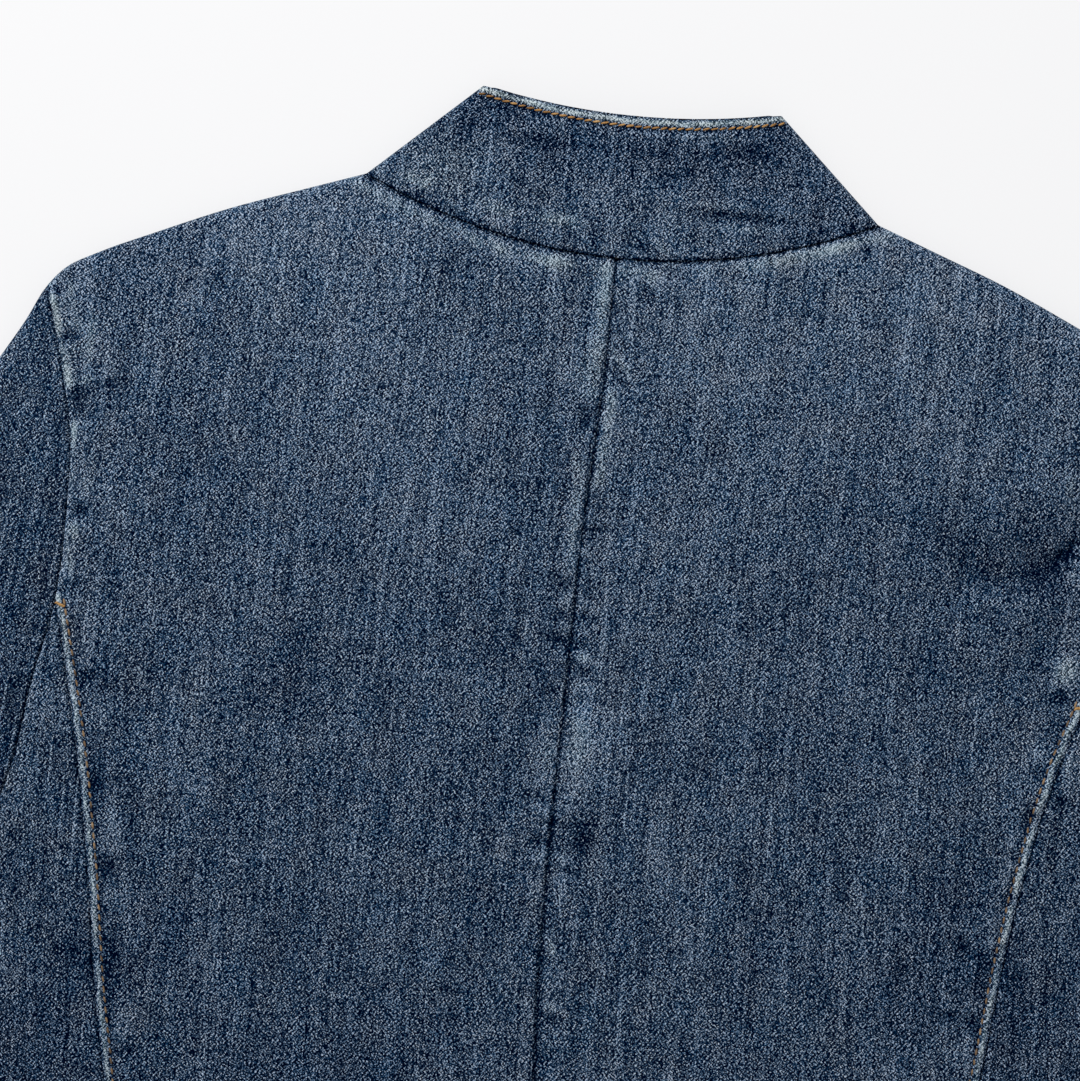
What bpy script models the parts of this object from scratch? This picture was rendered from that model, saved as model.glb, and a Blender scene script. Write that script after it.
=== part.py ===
"""Cropped denim jacket with a stand collar, laid face down so that its back shows.

Each panel is a denim wall worked out from one rule: a plan outline with a rolled fold along it, and a low
loft of air between the back and the fronts. A panel's plan is a grid between its seam lines, and its wall
stands on the cloth surface at those points. Metres, +Z up, +Y towards the collar, wearer's left at -X.
"""

from collections import namedtuple

import bpy
import numpy as np

CLOTH = 0.0012  # one layer of denim
SEAM_GAP = 0.0003  # air between two pieces at a seam
FOLD_RADIUS = 0.0034  # roll of the cloth along the outline
LOFT = 0.0135  # height of the back's face over the floor, well inside the outline
LOFT_REACH = 0.110  # distance from the outline over which the loft rises
HEM_TURN = 0.020  # cloth turned up inside hem and cuffs
FRONT_LAP = 0.015  # how far each front runs past the centre front
LAP_LIFT = 2 * CLOTH + 2 * SEAM_GAP  # the left front lies on the right one and its turned hem
LAP_RAMP = 0.014  # width over which the left front comes down to the floor again
HEM_Y = -0.455  # back length, neck seam to hem
NECK_DROP = 0.062  # front neck below the back neck
COLLAR_FRONT = 0.048  # collar height at the centre front
COLLAR_DIP = 0.0064  # the collar's top edge sags this far at the centre back
FACING_RISE = 0.0008  # the collar facing stands this far above the outer collar
FOLD_SHARE = 0.29  # one point half way round the quarter turn of a fold
OPEN_END = 0.06  # how far the outline runs on past an open edge of cloth
LAP_CLEAR = 0.001  # the left front starts down this far past the right one's edge
CURVE_STEPS = 400
WASHED = (0.078, 0.116, 0.188)  # faded indigo of the body
INDIGO = (0.052, 0.080, 0.142)  # the darker sleeves
TOUCHING = 1e-7
STRAY = 0.001  # a turned hem may leave the outline by less than this
SHARP = 0.7  # edges that turn more than this, in radians, stay sharp

BACK, FRONT = "back", "front"

PlanPoint = namedtuple("PlanPoint", "x y")
Edge = namedtuple("Edge", "points inward")
Fold = namedtuple("Fold", "from_x from_y to_x to_y width height")

# Plan of the wearer's right half, measured from the centre back at the neck seam.
OUTER_EDGE = (
    PlanPoint(0.0530, 0.0560),  # top corner of the collar, whose side is straight
    PlanPoint(0.0907, 0.0212),  # foot of the collar, top of the shoulder
    PlanPoint(0.1120, 0.0135),
    PlanPoint(0.1365, 0.0045),
    PlanPoint(0.1634, -0.0073),
    PlanPoint(0.1820, -0.0160),
    PlanPoint(0.1930, -0.0225),
    PlanPoint(0.1985, -0.0290),  # shoulder tip
    PlanPoint(0.2053, -0.0427),
    PlanPoint(0.2116, -0.0540),
    PlanPoint(0.2300, -0.0840),
    PlanPoint(0.2620, -0.1220),
    PlanPoint(0.3200, -0.1850),
    PlanPoint(0.3850, -0.2640),
    PlanPoint(0.4380, -0.3520),
    PlanPoint(0.4750, -0.4460),
    PlanPoint(0.5020, -0.5400),  # cuff
)
COLLAR_CORNER, COLLAR_FOOT, SHOULDER_TIP = OUTER_EDGE[0], OUTER_EDGE[1], OUTER_EDGE[7]
ARMHOLE = (
    SHOULDER_TIP,
    PlanPoint(0.1944, -0.0426),
    PlanPoint(0.1883, -0.0624),
    PlanPoint(0.1835, -0.0810),
    PlanPoint(0.1813, -0.1090),
    PlanPoint(0.1818, -0.1390),  # the princess seam starts here
    PlanPoint(0.1875, -0.1700),
    PlanPoint(0.1910, -0.1950),
    PlanPoint(0.1960, -0.2140),
    PlanPoint(0.2065, -0.2400),
    PlanPoint(0.2210, -0.2660),  # underarm
)
PRINCESS_TOP, UNDERARM = ARMHOLE[5], ARMHOLE[-1]
PRINCESS = (
    PlanPoint(0.1380, HEM_Y),
    PlanPoint(0.1380, -0.4000),
    PlanPoint(0.1415, -0.3500),
    PlanPoint(0.1485, -0.3050),
    PlanPoint(0.1540, -0.2750),
    PlanPoint(0.1605, -0.2310),
    PlanPoint(0.1690, -0.1870),
    PRINCESS_TOP,
)
SIDE = (
    PlanPoint(0.2120, HEM_Y),
    PlanPoint(0.2090, -0.4100),
    PlanPoint(0.2100, -0.3700),
    PlanPoint(0.2155, -0.3100),
    UNDERARM,
)
SLEEVE_UNDER_EDGE = (
    UNDERARM,
    PlanPoint(0.2500, -0.3000),
    PlanPoint(0.2850, -0.3480),
    PlanPoint(0.3220, -0.4080),
    PlanPoint(0.3560, -0.4850),
    PlanPoint(0.3890, -0.5750),  # cuff
)

# The largest folds of the laid back and sleeves, as ridges (or, with a negative height, hollows).
FOLDS = (
    Fold(0.184, -0.074, 0.138, -0.104, 0.013, -0.0022),  # drag at the right armhole
    Fold(0.182, -0.050, 0.150, -0.078, 0.013, 0.0014),
    Fold(-0.180, -0.150, -0.148, -0.176, 0.014, -0.0012),
    Fold(0.232, -0.250, 0.300, -0.205, 0.017, 0.0028),  # under the arms
    Fold(-0.236, -0.252, -0.312, -0.222, 0.019, 0.0026),
    Fold(0.300, -0.372, 0.384, -0.318, 0.016, 0.0030),  # elbows
    Fold(0.322, -0.404, 0.400, -0.362, 0.015, -0.0024),
    Fold(0.338, -0.434, 0.420, -0.402, 0.016, 0.0026),
    Fold(-0.308, -0.390, -0.398, -0.340, 0.018, 0.0030),
    Fold(-0.332, -0.424, -0.416, -0.386, 0.016, -0.0022),
    Fold(0.060, -0.330, 0.205, -0.362, 0.024, 0.0018),  # waist
    Fold(-0.040, -0.372, -0.200, -0.346, 0.026, 0.0018),
)
FOLDS_END = 0.020  # folds fade out this near the outline


for leftover in list(bpy.data.objects):
    bpy.data.objects.remove(leftover, do_unlink=True)
pieces = bpy.data.collections.new("cropped_denim_jacket")
bpy.context.scene.collection.children.link(pieces)


def smooth_curve(rows):
    """Dense plan curve through the rows of a table."""
    points = np.array(rows, float)
    steps = np.linalg.norm(np.diff(points, axis=0), axis=1)
    knots = np.concatenate([[0], np.cumsum(steps)])
    lean = np.gradient(points, knots, axis=0)
    place = np.linspace(0, knots[-1], CURVE_STEPS)
    before = np.clip(np.searchsorted(knots, place, side="right") - 1, 0, len(points) - 2)
    span = steps[before]
    t = ((place - knots[before]) / span)[:, None]
    span = span[:, None]
    return (
        (2 * t**3 - 3 * t**2 + 1) * points[before]
        + (t**3 - 2 * t**2 + t) * span * lean[before]
        + (3 * t**2 - 2 * t**3) * points[before + 1]
        + (t**3 - t**2) * span * lean[before + 1]
    )


def lengths_of(points):
    return np.concatenate([[0], np.cumsum(np.linalg.norm(np.diff(points, axis=0), axis=1))])


def part_of(curve, start, end):
    """The piece of a dense curve between the points nearest to start and end, which it then starts and ends on."""
    first = np.linalg.norm(curve - start, axis=1).argmin()
    last = np.linalg.norm(curve - end, axis=1).argmin()
    piece = curve[first : last + 1].copy()
    piece[0], piece[-1] = start, end
    return piece


def stations(curve, shares):
    """Points at these shares of a curve's length."""
    length = lengths_of(curve)
    place = np.asarray(shares) * length[-1]
    return np.stack([np.interp(place, length, curve[:, axis]) for axis in (0, 1)], axis=1)


def shares_with_folds(curve, inner, at_start=False, at_end=False):
    """Shares of a curve's length, with the points that a rolled fold needs at an end on the outline."""
    length = lengths_of(curve)[-1]
    near = [0, FOLD_SHARE * FOLD_RADIUS / length, FOLD_RADIUS / length]
    start = near if at_start else [0]
    end = [1 - share for share in reversed(near)] if at_end else [1]
    return np.array([*start, *inner, *end])


def straight(start, end):
    return np.array([start, end], float)


def extended(curve, at_start, at_end):
    """The curve with straight ends added, so that an open edge of cloth isn't rounded as a fold is."""
    first = curve[0] + (curve[0] - curve[1]) / np.linalg.norm(curve[0] - curve[1]) * OPEN_END
    last = curve[-1] + (curve[-1] - curve[-2]) / np.linalg.norm(curve[-1] - curve[-2]) * OPEN_END
    return np.concatenate([[first]] * at_start + [curve] + [[last]] * at_end)


def edge_of(points, turn):
    """An edge of the outline. The cloth lies to its left if turn is 1, to its right if -1."""
    run = np.diff(points, axis=0)
    run /= np.linalg.norm(run, axis=1)[:, None]
    return Edge(points, turn * np.stack([-run[:, 1], run[:, 0]], axis=1))


def both_sides(edge):
    flip = np.array([-1, 1])
    return edge, Edge(edge.points * flip, edge.inward * flip)


arm_curve = smooth_curve(OUTER_EDGE[1:])
armhole_curve = smooth_curve(ARMHOLE)
princess_curve = smooth_curve(PRINCESS)
side_curve = smooth_curve(SIDE)
under_curve = smooth_curve(SLEEVE_UNDER_EDGE)
shoulder_curve = part_of(arm_curve, COLLAR_FOOT, SHOULDER_TIP)
over_curve = part_of(arm_curve, SHOULDER_TIP, OUTER_EDGE[-1])
armhole_upper = part_of(armhole_curve, SHOULDER_TIP, PRINCESS_TOP)
armhole_lower = part_of(armhole_curve, PRINCESS_TOP, UNDERARM)
outer_curve = np.concatenate([[COLLAR_CORNER], shoulder_curve, over_curve[1:]])
OUTLINE = (
    *both_sides(edge_of(extended(outer_curve, True, True), -1)),
    *both_sides(edge_of(extended(under_curve, False, True), 1)),
    *both_sides(edge_of(extended(side_curve, True, False), 1)),
)


def outline_distance(plan):
    """Distance of plan points inside the outline, evened out between its edges, and how it grows in x and y."""
    total = np.zeros(len(plan))
    pull = np.zeros_like(plan)
    each = np.arange(len(plan))
    for edge in OUTLINE:
        run = np.diff(edge.points, axis=0)
        offset = plan[:, None] - edge.points[None, :-1]
        share = np.clip((offset * run).sum(-1) / (run * run).sum(-1), 0, 1)
        away = offset - share[..., None] * run
        gap = np.linalg.norm(away, axis=-1)
        nearest = gap.argmin(axis=1)
        near = np.maximum(gap[each, nearest], TOUCHING)
        away, inward = away[each, nearest], edge.inward[nearest]
        strays = (near < STRAY) & ((away * inward).sum(-1) < 0)
        off = (near > 10 * TOUCHING) & ~strays
        towards = np.where(off[:, None], away / near[:, None], inward)
        total += near**-2.0
        pull += near[:, None] ** -3.0 * towards
    distance = total**-0.5
    return distance, pull * distance[:, None] ** 3


def fold_lift(plan, distance):
    lift = np.zeros(len(plan))
    for fold in FOLDS:
        start = np.array([fold.from_x, fold.from_y])
        run = np.array([fold.to_x, fold.to_y]) - start
        share = ((plan - start) @ run) / (run @ run)
        aside = np.linalg.norm(plan - start - np.clip(share, 0, 1)[:, None] * run, axis=1)
        lift += fold.height * np.exp(-((aside / fold.width) ** 2))
    return lift * np.clip(distance / FOLDS_END, 0, 1)


def on_cloth(plan, depth, face):
    """Points at this depth under the outer face of the back or of the front, over these plan points."""
    distance, grows = outline_distance(plan)
    across = 1 - np.clip(distance / FOLD_RADIUS, 0, 1)
    rise = np.sqrt(np.maximum(1 - across**2, TOUCHING))
    slope = across / rise
    if face == BACK:
        inland = np.clip(1 - distance / LOFT_REACH, 0, 1)
        loft = LOFT - 2 * FOLD_RADIUS
        height = FOLD_RADIUS * (1 + rise) + SEAM_GAP + loft * (1 - inland**2)
        height += fold_lift(plan, distance)
        slope = slope + 2 * loft * inland / LOFT_REACH
        normal = np.column_stack([-slope[:, None] * grows, np.ones(len(plan))])
    else:
        height = FOLD_RADIUS * (1 - rise)
        normal = np.column_stack([-slope[:, None] * grows, -np.ones(len(plan))])
    normal /= np.linalg.norm(normal, axis=1)[:, None]
    return np.column_stack([plan, height]) - np.reshape(depth, (-1, 1)) * normal


def patch(bottom, top, left, right):
    """Plan grid [row][column] between four rows of points; left and right run up, bottom and top run across."""
    shares = [lengths_of(side) / lengths_of(side)[-1] for side in (bottom, top, left, right)]
    low, high, near, far = shares
    middle = np.linspace(0, 1, len(bottom))
    v = near[:, None] * (1 - middle) + far[:, None] * middle
    u = low[None] * (1 - v) + high[None] * v
    u, v = u[..., None], v[..., None]
    grid = (1 - v) * bottom[None] + v * top[None] + (1 - u) * left[:, None] + u * right[:, None]
    grid -= (1 - u) * (1 - v) * bottom[0] + u * (1 - v) * bottom[-1]
    return grid - (1 - u) * v * top[0] - u * v * top[-1]


def drawn_back(grid, edge, inside):
    """The grid with the points at edge drawn half a seam's gap towards those inside it."""
    trimmed = grid.copy()
    way = grid[inside] - grid[edge]
    trimmed[edge] += way / np.linalg.norm(way, axis=-1, keepdims=True) * SEAM_GAP / 2
    return trimmed


def hem_rows(grid):
    """Plan rows, outer depths and inner depths of a panel whose first row is a hem turned up inside."""
    layers = 2 * CLOTH + SEAM_GAP
    round_edge = layers / 2
    way = grid[1] - grid[0]
    way /= np.linalg.norm(way, axis=-1, keepdims=True)
    edge = grid[0]
    outer = [edge + way * HEM_TURN, edge + way * round_edge, edge, edge + way * round_edge]
    inner = [*outer]
    inner[2] = edge + way * (round_edge - SEAM_GAP / 2)
    outer_depth = [layers, layers, layers / 2, 0]
    inner_depth = [layers - CLOTH, layers - CLOTH, layers / 2, CLOTH]
    rest = len(grid) - 1
    return (
        np.concatenate([outer, grid[1:]]),
        np.concatenate([inner, grid[1:]]),
        np.array(outer_depth + [0] * rest),
        np.array(inner_depth + [CLOTH] * rest),
    )


def skins(outer_plan, inner_plan, outer_depth, inner_depth, face):
    """Outer and inner point grids of a panel's wall."""
    made = []
    for plan, depth in ((outer_plan, outer_depth), (inner_plan, inner_depth)):
        rows, columns = plan.shape[:2]
        points = on_cloth(plan.reshape(-1, 2), np.repeat(depth, columns), face)
        made.append(points.reshape(rows, columns, 3))
    return made


def denim(name, colour):
    material = bpy.data.materials.new(f"denim_{name}")
    material.use_nodes = True
    surface = material.node_tree.nodes["Principled BSDF"]
    surface.inputs["Base Color"].default_value = (*colour, 1)
    surface.inputs["Roughness"].default_value = 0.9
    surface.inputs["Metallic"].default_value = 0
    return material


def cloth_wall(name, outer, inner, colour=WASHED, tube=False):
    """One closed object between two point grids [row][column]; a tube's columns run round."""
    rows, columns = outer.shape[:2]
    count = rows * columns
    points = np.concatenate([outer.reshape(-1, 3), inner.reshape(-1, 3)])
    across = columns if tube else columns - 1
    faces = []

    def corner(row, column, skin):
        return skin * count + row * columns + column % columns

    for row in range(rows - 1):
        for column in range(across):
            quad = [(row, column), (row, column + 1), (row + 1, column + 1), (row + 1, column)]
            faces.append([corner(*place, 0) for place in quad])
            faces.append([corner(*place, 1) for place in reversed(quad)])
    rims = [((0, c + 1), (0, c)) for c in range(across)]
    rims += [((rows - 1, c), (rows - 1, c + 1)) for c in range(across)]
    if not tube:
        rims += [((r, 0), (r + 1, 0)) for r in range(rows - 1)]
        rims += [((r + 1, columns - 1), (r, columns - 1)) for r in range(rows - 1)]
    for first, second in rims:
        faces.append([corner(*first, 0), corner(*second, 0), corner(*second, 1), corner(*first, 1)])
    mesh = bpy.data.meshes.new(name)
    mesh.from_pydata(points.tolist(), [], faces)
    signed = sum(np.dot(points[f[0]], np.cross(points[f[i]], points[f[i + 1]])) for f in faces for i in (1, 2))
    if signed < 0:
        mesh.flip_normals()
    mesh.shade_smooth()
    mesh.set_sharp_from_angle(angle=SHARP)
    mesh.materials.append(denim(name, colour))
    piece = bpy.data.objects.new(name, mesh)
    pieces.objects.link(piece)


def mirrored(grid, left):
    return grid * np.array([-1, 1]) if left else grid


# Shares of each seam's length at which the panels on both its sides have points.
NECK_SHARES = (0.22, 0.43, 0.62, 0.78, 0.90)
SHOULDER_SHARES = (0.28, 0.56, 0.80)
UPPER_ARMHOLE_SHARES = (0.18, 0.38, 0.60, 0.80)
LOWER_ARMHOLE_SHARES = (0.17, 0.34, 0.52, 0.70, 0.86)
PRINCESS_SHARES = (0.055, 0.14, 0.25, 0.36, 0.47, 0.58, 0.69, 0.80, 0.90)
FRONT_NECK_X = (-FRONT_LAP, 0, FRONT_LAP + LAP_CLEAR, FRONT_LAP + LAP_RAMP, 0.050, 0.070, 0.083)
SLEEVE_SHARES = (0, 0.05, 0.11, 0.17, 0.23, 0.29, 0.35, 0.41, 0.47, 0.53, 0.58, 0.63, 0.69, 0.76, 0.83, 0.91, 0.965, 1)
COLLAR_SHARES = (0, 0.25, 0.5, 0.75, 1)

neck_x = np.linspace(0, COLLAR_FOOT.x, CURVE_STEPS)
neck_curve = np.column_stack([neck_x, COLLAR_FOOT.y * (neck_x / COLLAR_FOOT.x) ** 2])
top_x = np.linspace(0, COLLAR_CORNER.x, CURVE_STEPS)
top_curve = np.column_stack([top_x, COLLAR_CORNER.y - COLLAR_DIP * (1 - (top_x / COLLAR_CORNER.x) ** 2)])


def front_neck(x):
    """Front neck seam, a quarter of an ellipse from the centre front to the collar's foot."""
    x = np.asarray(x, float)
    drop = NECK_DROP + COLLAR_FOOT.y
    return np.column_stack([x, COLLAR_FOOT.y - drop * np.sqrt(np.maximum(1 - (x / COLLAR_FOOT.x) ** 2, 0))])


def front_collar_top(turn):
    drop = NECK_DROP - COLLAR_FRONT + COLLAR_CORNER.y
    return np.column_stack([COLLAR_CORNER.x * np.sin(turn), COLLAR_CORNER.y - drop * np.cos(turn)])


neck_stations = stations(neck_curve, shares_with_folds(neck_curve, NECK_SHARES, at_end=True))
top_stations = stations(top_curve, shares_with_folds(top_curve, NECK_SHARES, at_end=True))
shoulder_shares = shares_with_folds(shoulder_curve, SHOULDER_SHARES, at_end=True)
shoulder_stations = stations(shoulder_curve, shoulder_shares)
upper_stations = stations(armhole_upper, shares_with_folds(armhole_upper, UPPER_ARMHOLE_SHARES, at_start=True))
lower_stations = stations(armhole_lower, shares_with_folds(armhole_lower, LOWER_ARMHOLE_SHARES, at_end=True))
princess_stations = stations(princess_curve, [0, *PRINCESS_SHARES, 1])
side_stations = stations(side_curve, [0, *PRINCESS_SHARES, 1])
turn_of_x = np.arcsin(np.clip(np.array(FRONT_NECK_X) / COLLAR_FOOT.x, -1, 1))
fold_drops = np.array([FOLD_RADIUS, FOLD_SHARE * FOLD_RADIUS, 0]) / (NECK_DROP + COLLAR_FOOT.y)
neck_turns = np.concatenate([turn_of_x, np.pi / 2 - fold_drops])
front_neck_stations = front_neck(COLLAR_FOOT.x * np.sin(neck_turns))


def neck_edge(points, turn):
    """The neck edge of a panel: half a seam's gap off the neck seam, and along the shoulder at the collar's foot."""
    run = np.gradient(points, lengths_of(points), axis=0)
    off = turn * np.column_stack([-run[:, 1], run[:, 0]])
    off[-1] = shoulder_stations[1] - shoulder_stations[0]
    return points + off / np.linalg.norm(off, axis=1)[:, None] * SEAM_GAP / 2


def armhole_edge(shoulder_way, underarm_way, turn):
    """The armhole edge of the body (turn -1) or of the sleeve (turn 1), running down along their folds at its ends."""
    points = np.concatenate([upper_stations, lower_stations[1:]])
    run = np.gradient(points, lengths_of(points), axis=0)
    off = turn * np.column_stack([-run[:, 1], run[:, 0]])
    off[0], off[-1] = shoulder_way, underarm_way
    return points + off / np.linalg.norm(off, axis=1)[:, None] * SEAM_GAP / 2


back_neck_edge = neck_edge(neck_stations, -1)
front_neck_edge = neck_edge(front_neck_stations, -1)
body_armhole = armhole_edge(shoulder_stations[-2] - shoulder_stations[-1], side_curve[-2] - side_curve[-1], -1)
sleeve_armhole = armhole_edge(over_curve[1] - over_curve[0], under_curve[1] - under_curve[0], 1)
upper_body = body_armhole[: len(upper_stations)]
lower_body = body_armhole[len(upper_stations) - 1 :]
shoulder_edge = np.concatenate([shoulder_stations[1:-1], upper_body[:1]])


def back_panel(left):
    top = np.concatenate([back_neck_edge, shoulder_edge])
    right = np.concatenate([princess_stations[:-1], upper_body[::-1]])
    centre = straight((0, HEM_Y), back_neck_edge[0])
    side = stations(centre, lengths_of(right) / lengths_of(right)[-1])
    hem = straight((0, HEM_Y), princess_stations[0])
    bottom = stations(hem, lengths_of(top) / lengths_of(top)[-1])
    grid = patch(bottom, top, side, right)
    trimmed = drawn_back(grid, np.s_[:, 0], np.s_[:, 1])
    below = slice(len(princess_stations))
    trimmed = drawn_back(trimmed, np.s_[below, -1], np.s_[below, -2])
    return skins(*hem_rows(mirrored(trimmed, left)), BACK)


def side_back_panel(left):
    hem = straight(princess_stations[0], side_stations[0])
    shares = shares_with_folds(hem, LOWER_ARMHOLE_SHARES, at_end=True)
    near = np.concatenate([princess_stations[:-1], lower_body[:1]])
    far = np.concatenate([side_stations[:-1], lower_body[-1:]])
    grid = patch(stations(hem, shares), lower_body, near, far)
    trimmed = drawn_back(grid, np.s_[:, 0], np.s_[:, 1])
    return skins(*hem_rows(mirrored(trimmed, left)), BACK)


def front_panel(left):
    top = np.concatenate([front_neck_edge, shoulder_edge])
    right = np.concatenate([side_stations[:-1], body_armhole[::-1]])
    centre = straight((-FRONT_LAP, HEM_Y), front_neck_edge[0])
    side = stations(centre, lengths_of(right) / lengths_of(right)[-1])
    hem = straight((-FRONT_LAP, HEM_Y), side_stations[0])
    hem_length = lengths_of(hem)[-1]
    lap = (np.array(FRONT_NECK_X[:4]) + FRONT_LAP) / hem_length
    inner = np.linspace(lap[-1], 1, len(top) - len(lap) - 1)[1:-1]
    shares = np.concatenate([lap, shares_with_folds(hem, inner, at_end=True)[1:]])
    grid = patch(stations(hem, shares), top, side, right)
    walls = skins(*hem_rows(mirrored(grid, left)), FRONT)
    if left:
        for wall in walls:
            past = (FRONT_LAP + LAP_RAMP + wall[..., 0]) / LAP_RAMP
            wall[..., 2] += LAP_LIFT * np.clip(past, 0, 1)
    return walls


def sleeve_plan():
    """Plan grid [section][station] from the armhole, which is its first section, to the cuff."""
    armhole = sleeve_armhole
    start, end = armhole[0], armhole[-1]
    over = stations(over_curve, SLEEVE_SHARES)
    under = stations(under_curve, SLEEVE_SHARES)
    along = lengths_of(armhole) / lengths_of(armhole)[-1]
    bow = armhole - (start + (end - start) * along[:, None])
    sections = []
    for share, outer, inner in zip(SLEEVE_SHARES, over, under):
        width = np.linalg.norm(inner - outer)
        near = along.copy()
        near[:3] = (0, FOLD_SHARE * FOLD_RADIUS / width, FOLD_RADIUS / width)
        near[-3:] = 1 - near[2::-1]
        place = near if share > 0 else along
        outer, inner = (outer, inner) if share > 0 else (start, end)
        sections.append(outer + (inner - outer) * place[:, None] + bow * (1 - share) ** 2)
    return np.array(sections)


def sleeve_tube(left):
    grid = mirrored(sleeve_plan(), left)
    outer_plan, inner_plan, outer_depth, inner_depth = hem_rows(grid[::-1])
    backs = skins(outer_plan, inner_plan, outer_depth, inner_depth, BACK)
    fronts = skins(outer_plan, inner_plan, outer_depth, inner_depth, FRONT)
    return [np.concatenate([back, front[:, ::-1]], axis=1) for back, front in zip(backs, fronts)]


def collar_band(outer_depth, inner_depth, seam, rise):
    """Both skins of one collar layer, from the right centre front round the back to the left centre front."""
    first = FRONT_NECK_X.index(0)
    neck, turns = front_neck_stations[first:].copy(), neck_turns[first:]
    top_fronts = front_collar_top(turns)
    neck[0, 0] = top_fronts[0, 0] = SEAM_GAP
    halves = {}
    for face, feet, tops in ((FRONT, neck, top_fronts), (BACK, neck_stations, top_stations)):
        way = tops - feet
        way /= np.linalg.norm(way, axis=1)[:, None]
        foot, head = feet + way * seam, tops + way * rise
        plan = np.array([foot + (head - foot) * share for share in COLLAR_SHARES])
        halves[face] = plan
    layers = []
    for depth in (outer_depth, inner_depth):
        strip = []
        for left, face in ((False, FRONT), (False, BACK), (True, BACK), (True, FRONT)):
            plan = mirrored(halves[face], left)
            points = on_cloth(plan.reshape(-1, 2), depth, face).reshape(*plan.shape[:2], 3)
            runs_in = (face == BACK) != left
            points = points[:, ::-1] if runs_in else points
            strip.append(points[:, 1:] if left and face == BACK else points)
        layers.append(np.concatenate(strip, axis=1))
    return layers


def sew_jacket():
    for side in ("left", "right"):
        left = side == "left"
        cloth_wall(f"back_{side}", *back_panel(left))
        cloth_wall(f"side_back_{side}", *side_back_panel(left))
        cloth_wall(f"front_{side}", *front_panel(left))
        cloth_wall(f"sleeve_{side}", *sleeve_tube(left), colour=INDIGO, tube=True)
    inside = CLOTH + SEAM_GAP
    cloth_wall("collar_outer", *collar_band(0, CLOTH, SEAM_GAP / 2, 0))
    cloth_wall("collar_facing", *collar_band(inside, inside + CLOTH, 2 * SEAM_GAP, FACING_RISE))


def centre_jacket():
    """Hang the pieces on an empty that puts the middle of the jacket's plan at the origin."""
    reach = [corner.co.y for piece in pieces.objects for corner in piece.data.vertices]
    middle = bpy.data.objects.new("jacket", None)
    pieces.objects.link(middle)
    middle.location.y = -(min(reach) + max(reach)) / 2
    for piece in pieces.objects:
        if piece.type == "MESH":
            piece.parent = middle


sew_jacket()
centre_jacket()
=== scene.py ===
"""Cropped denim jacket with a stand collar, laid face down: cloth, seams, stitching and wash.

Each panel is a thin shell on the form of its solid. The plan tables are the part's own, in metres from the
centre back at the neck seam, with the wearer's left at -X; the panels only have more points here, and their
seams, puckers and creases stand up from that form. Two attributes go with the cloth: grain, the place along
the weft and the warp, and a second one, how much paler or darker the cloth is: wear from the wash, with
painted shade in its seams' ditches, creases and hollows and painted light on its ridges.
"""

from collections import namedtuple

import bpy
import numpy as np
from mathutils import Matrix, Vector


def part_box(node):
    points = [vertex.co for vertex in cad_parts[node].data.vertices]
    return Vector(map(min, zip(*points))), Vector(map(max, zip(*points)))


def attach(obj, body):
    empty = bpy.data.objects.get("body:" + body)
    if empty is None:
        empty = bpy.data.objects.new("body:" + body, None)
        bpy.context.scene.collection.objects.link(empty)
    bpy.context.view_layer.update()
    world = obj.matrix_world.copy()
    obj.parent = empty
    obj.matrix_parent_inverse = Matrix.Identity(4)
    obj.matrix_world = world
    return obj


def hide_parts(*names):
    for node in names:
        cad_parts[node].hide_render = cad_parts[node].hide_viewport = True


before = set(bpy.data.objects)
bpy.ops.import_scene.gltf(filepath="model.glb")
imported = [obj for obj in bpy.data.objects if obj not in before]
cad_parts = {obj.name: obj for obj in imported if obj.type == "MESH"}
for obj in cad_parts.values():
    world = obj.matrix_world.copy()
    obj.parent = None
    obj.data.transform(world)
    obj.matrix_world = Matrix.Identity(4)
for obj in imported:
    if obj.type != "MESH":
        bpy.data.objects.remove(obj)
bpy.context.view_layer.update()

CLOTH = 0.0012  # one layer of denim
SEAM_GAP = 0.0003  # air between two solids at a seam
SEAM_CLOSED = -0.0001  # what shows of that gap: none, as the cloth turns down into the seam
FOLD_RADIUS = 0.0034  # roll of the cloth along the outline
LOFT = 0.0135  # height of the back's face over the floor, well inside the outline
LOFT_REACH = 0.110  # distance from the outline over which the loft rises
HEM_TURN = 0.020  # cloth turned up inside hem and cuffs
HEM_ROUND = CLOTH + SEAM_GAP / 2  # outer radius of a turned hem's edge
FRONT_LAP = 0.015  # how far each front runs past the centre front
LAP_LIFT = 2 * CLOTH + 2 * SEAM_GAP  # the left front lies on the right one and its turned hem
LAP_RAMP = 0.014  # width over which the left front comes down to the floor again
HEM_Y = -0.455  # back length, neck seam to hem
NECK_DROP = 0.062  # front neck below the back neck
COLLAR_FRONT = 0.048  # collar height at the centre front
COLLAR_DIP = 0.0064  # the collar's top edge sags this far at the centre back
FACING_RISE = 0.0008  # the collar facing stands this far above the outer collar
CURVE_STEPS = 200
TOUCHING = 1e-7
ON_EDGE = 10 * TOUCHING  # this near the outline, its own direction counts
STEEPEST = 1e-10  # keeps the roll's slope finite on the outline
OPEN_END = 0.06  # how far the outline runs on past an open edge of cloth
STRAY = 0.001  # a turned hem may leave the outline by less than this
SHARP = 0.7  # edges that turn more than this, in radians, stay sharp
MM = 0.001

BACK, FRONT = "back", "front"

PlanPoint = namedtuple("PlanPoint", "x y")
Edge = namedtuple("Edge", "points inward")
Fold = namedtuple("Fold", "from_x from_y to_x to_y width height")
Mark = namedtuple("Mark", "x y reach width lean lift fade")
Tone = namedtuple("Tone", "y luma")
Cut = namedtuple("Cut", "width length area rests_on")

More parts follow.
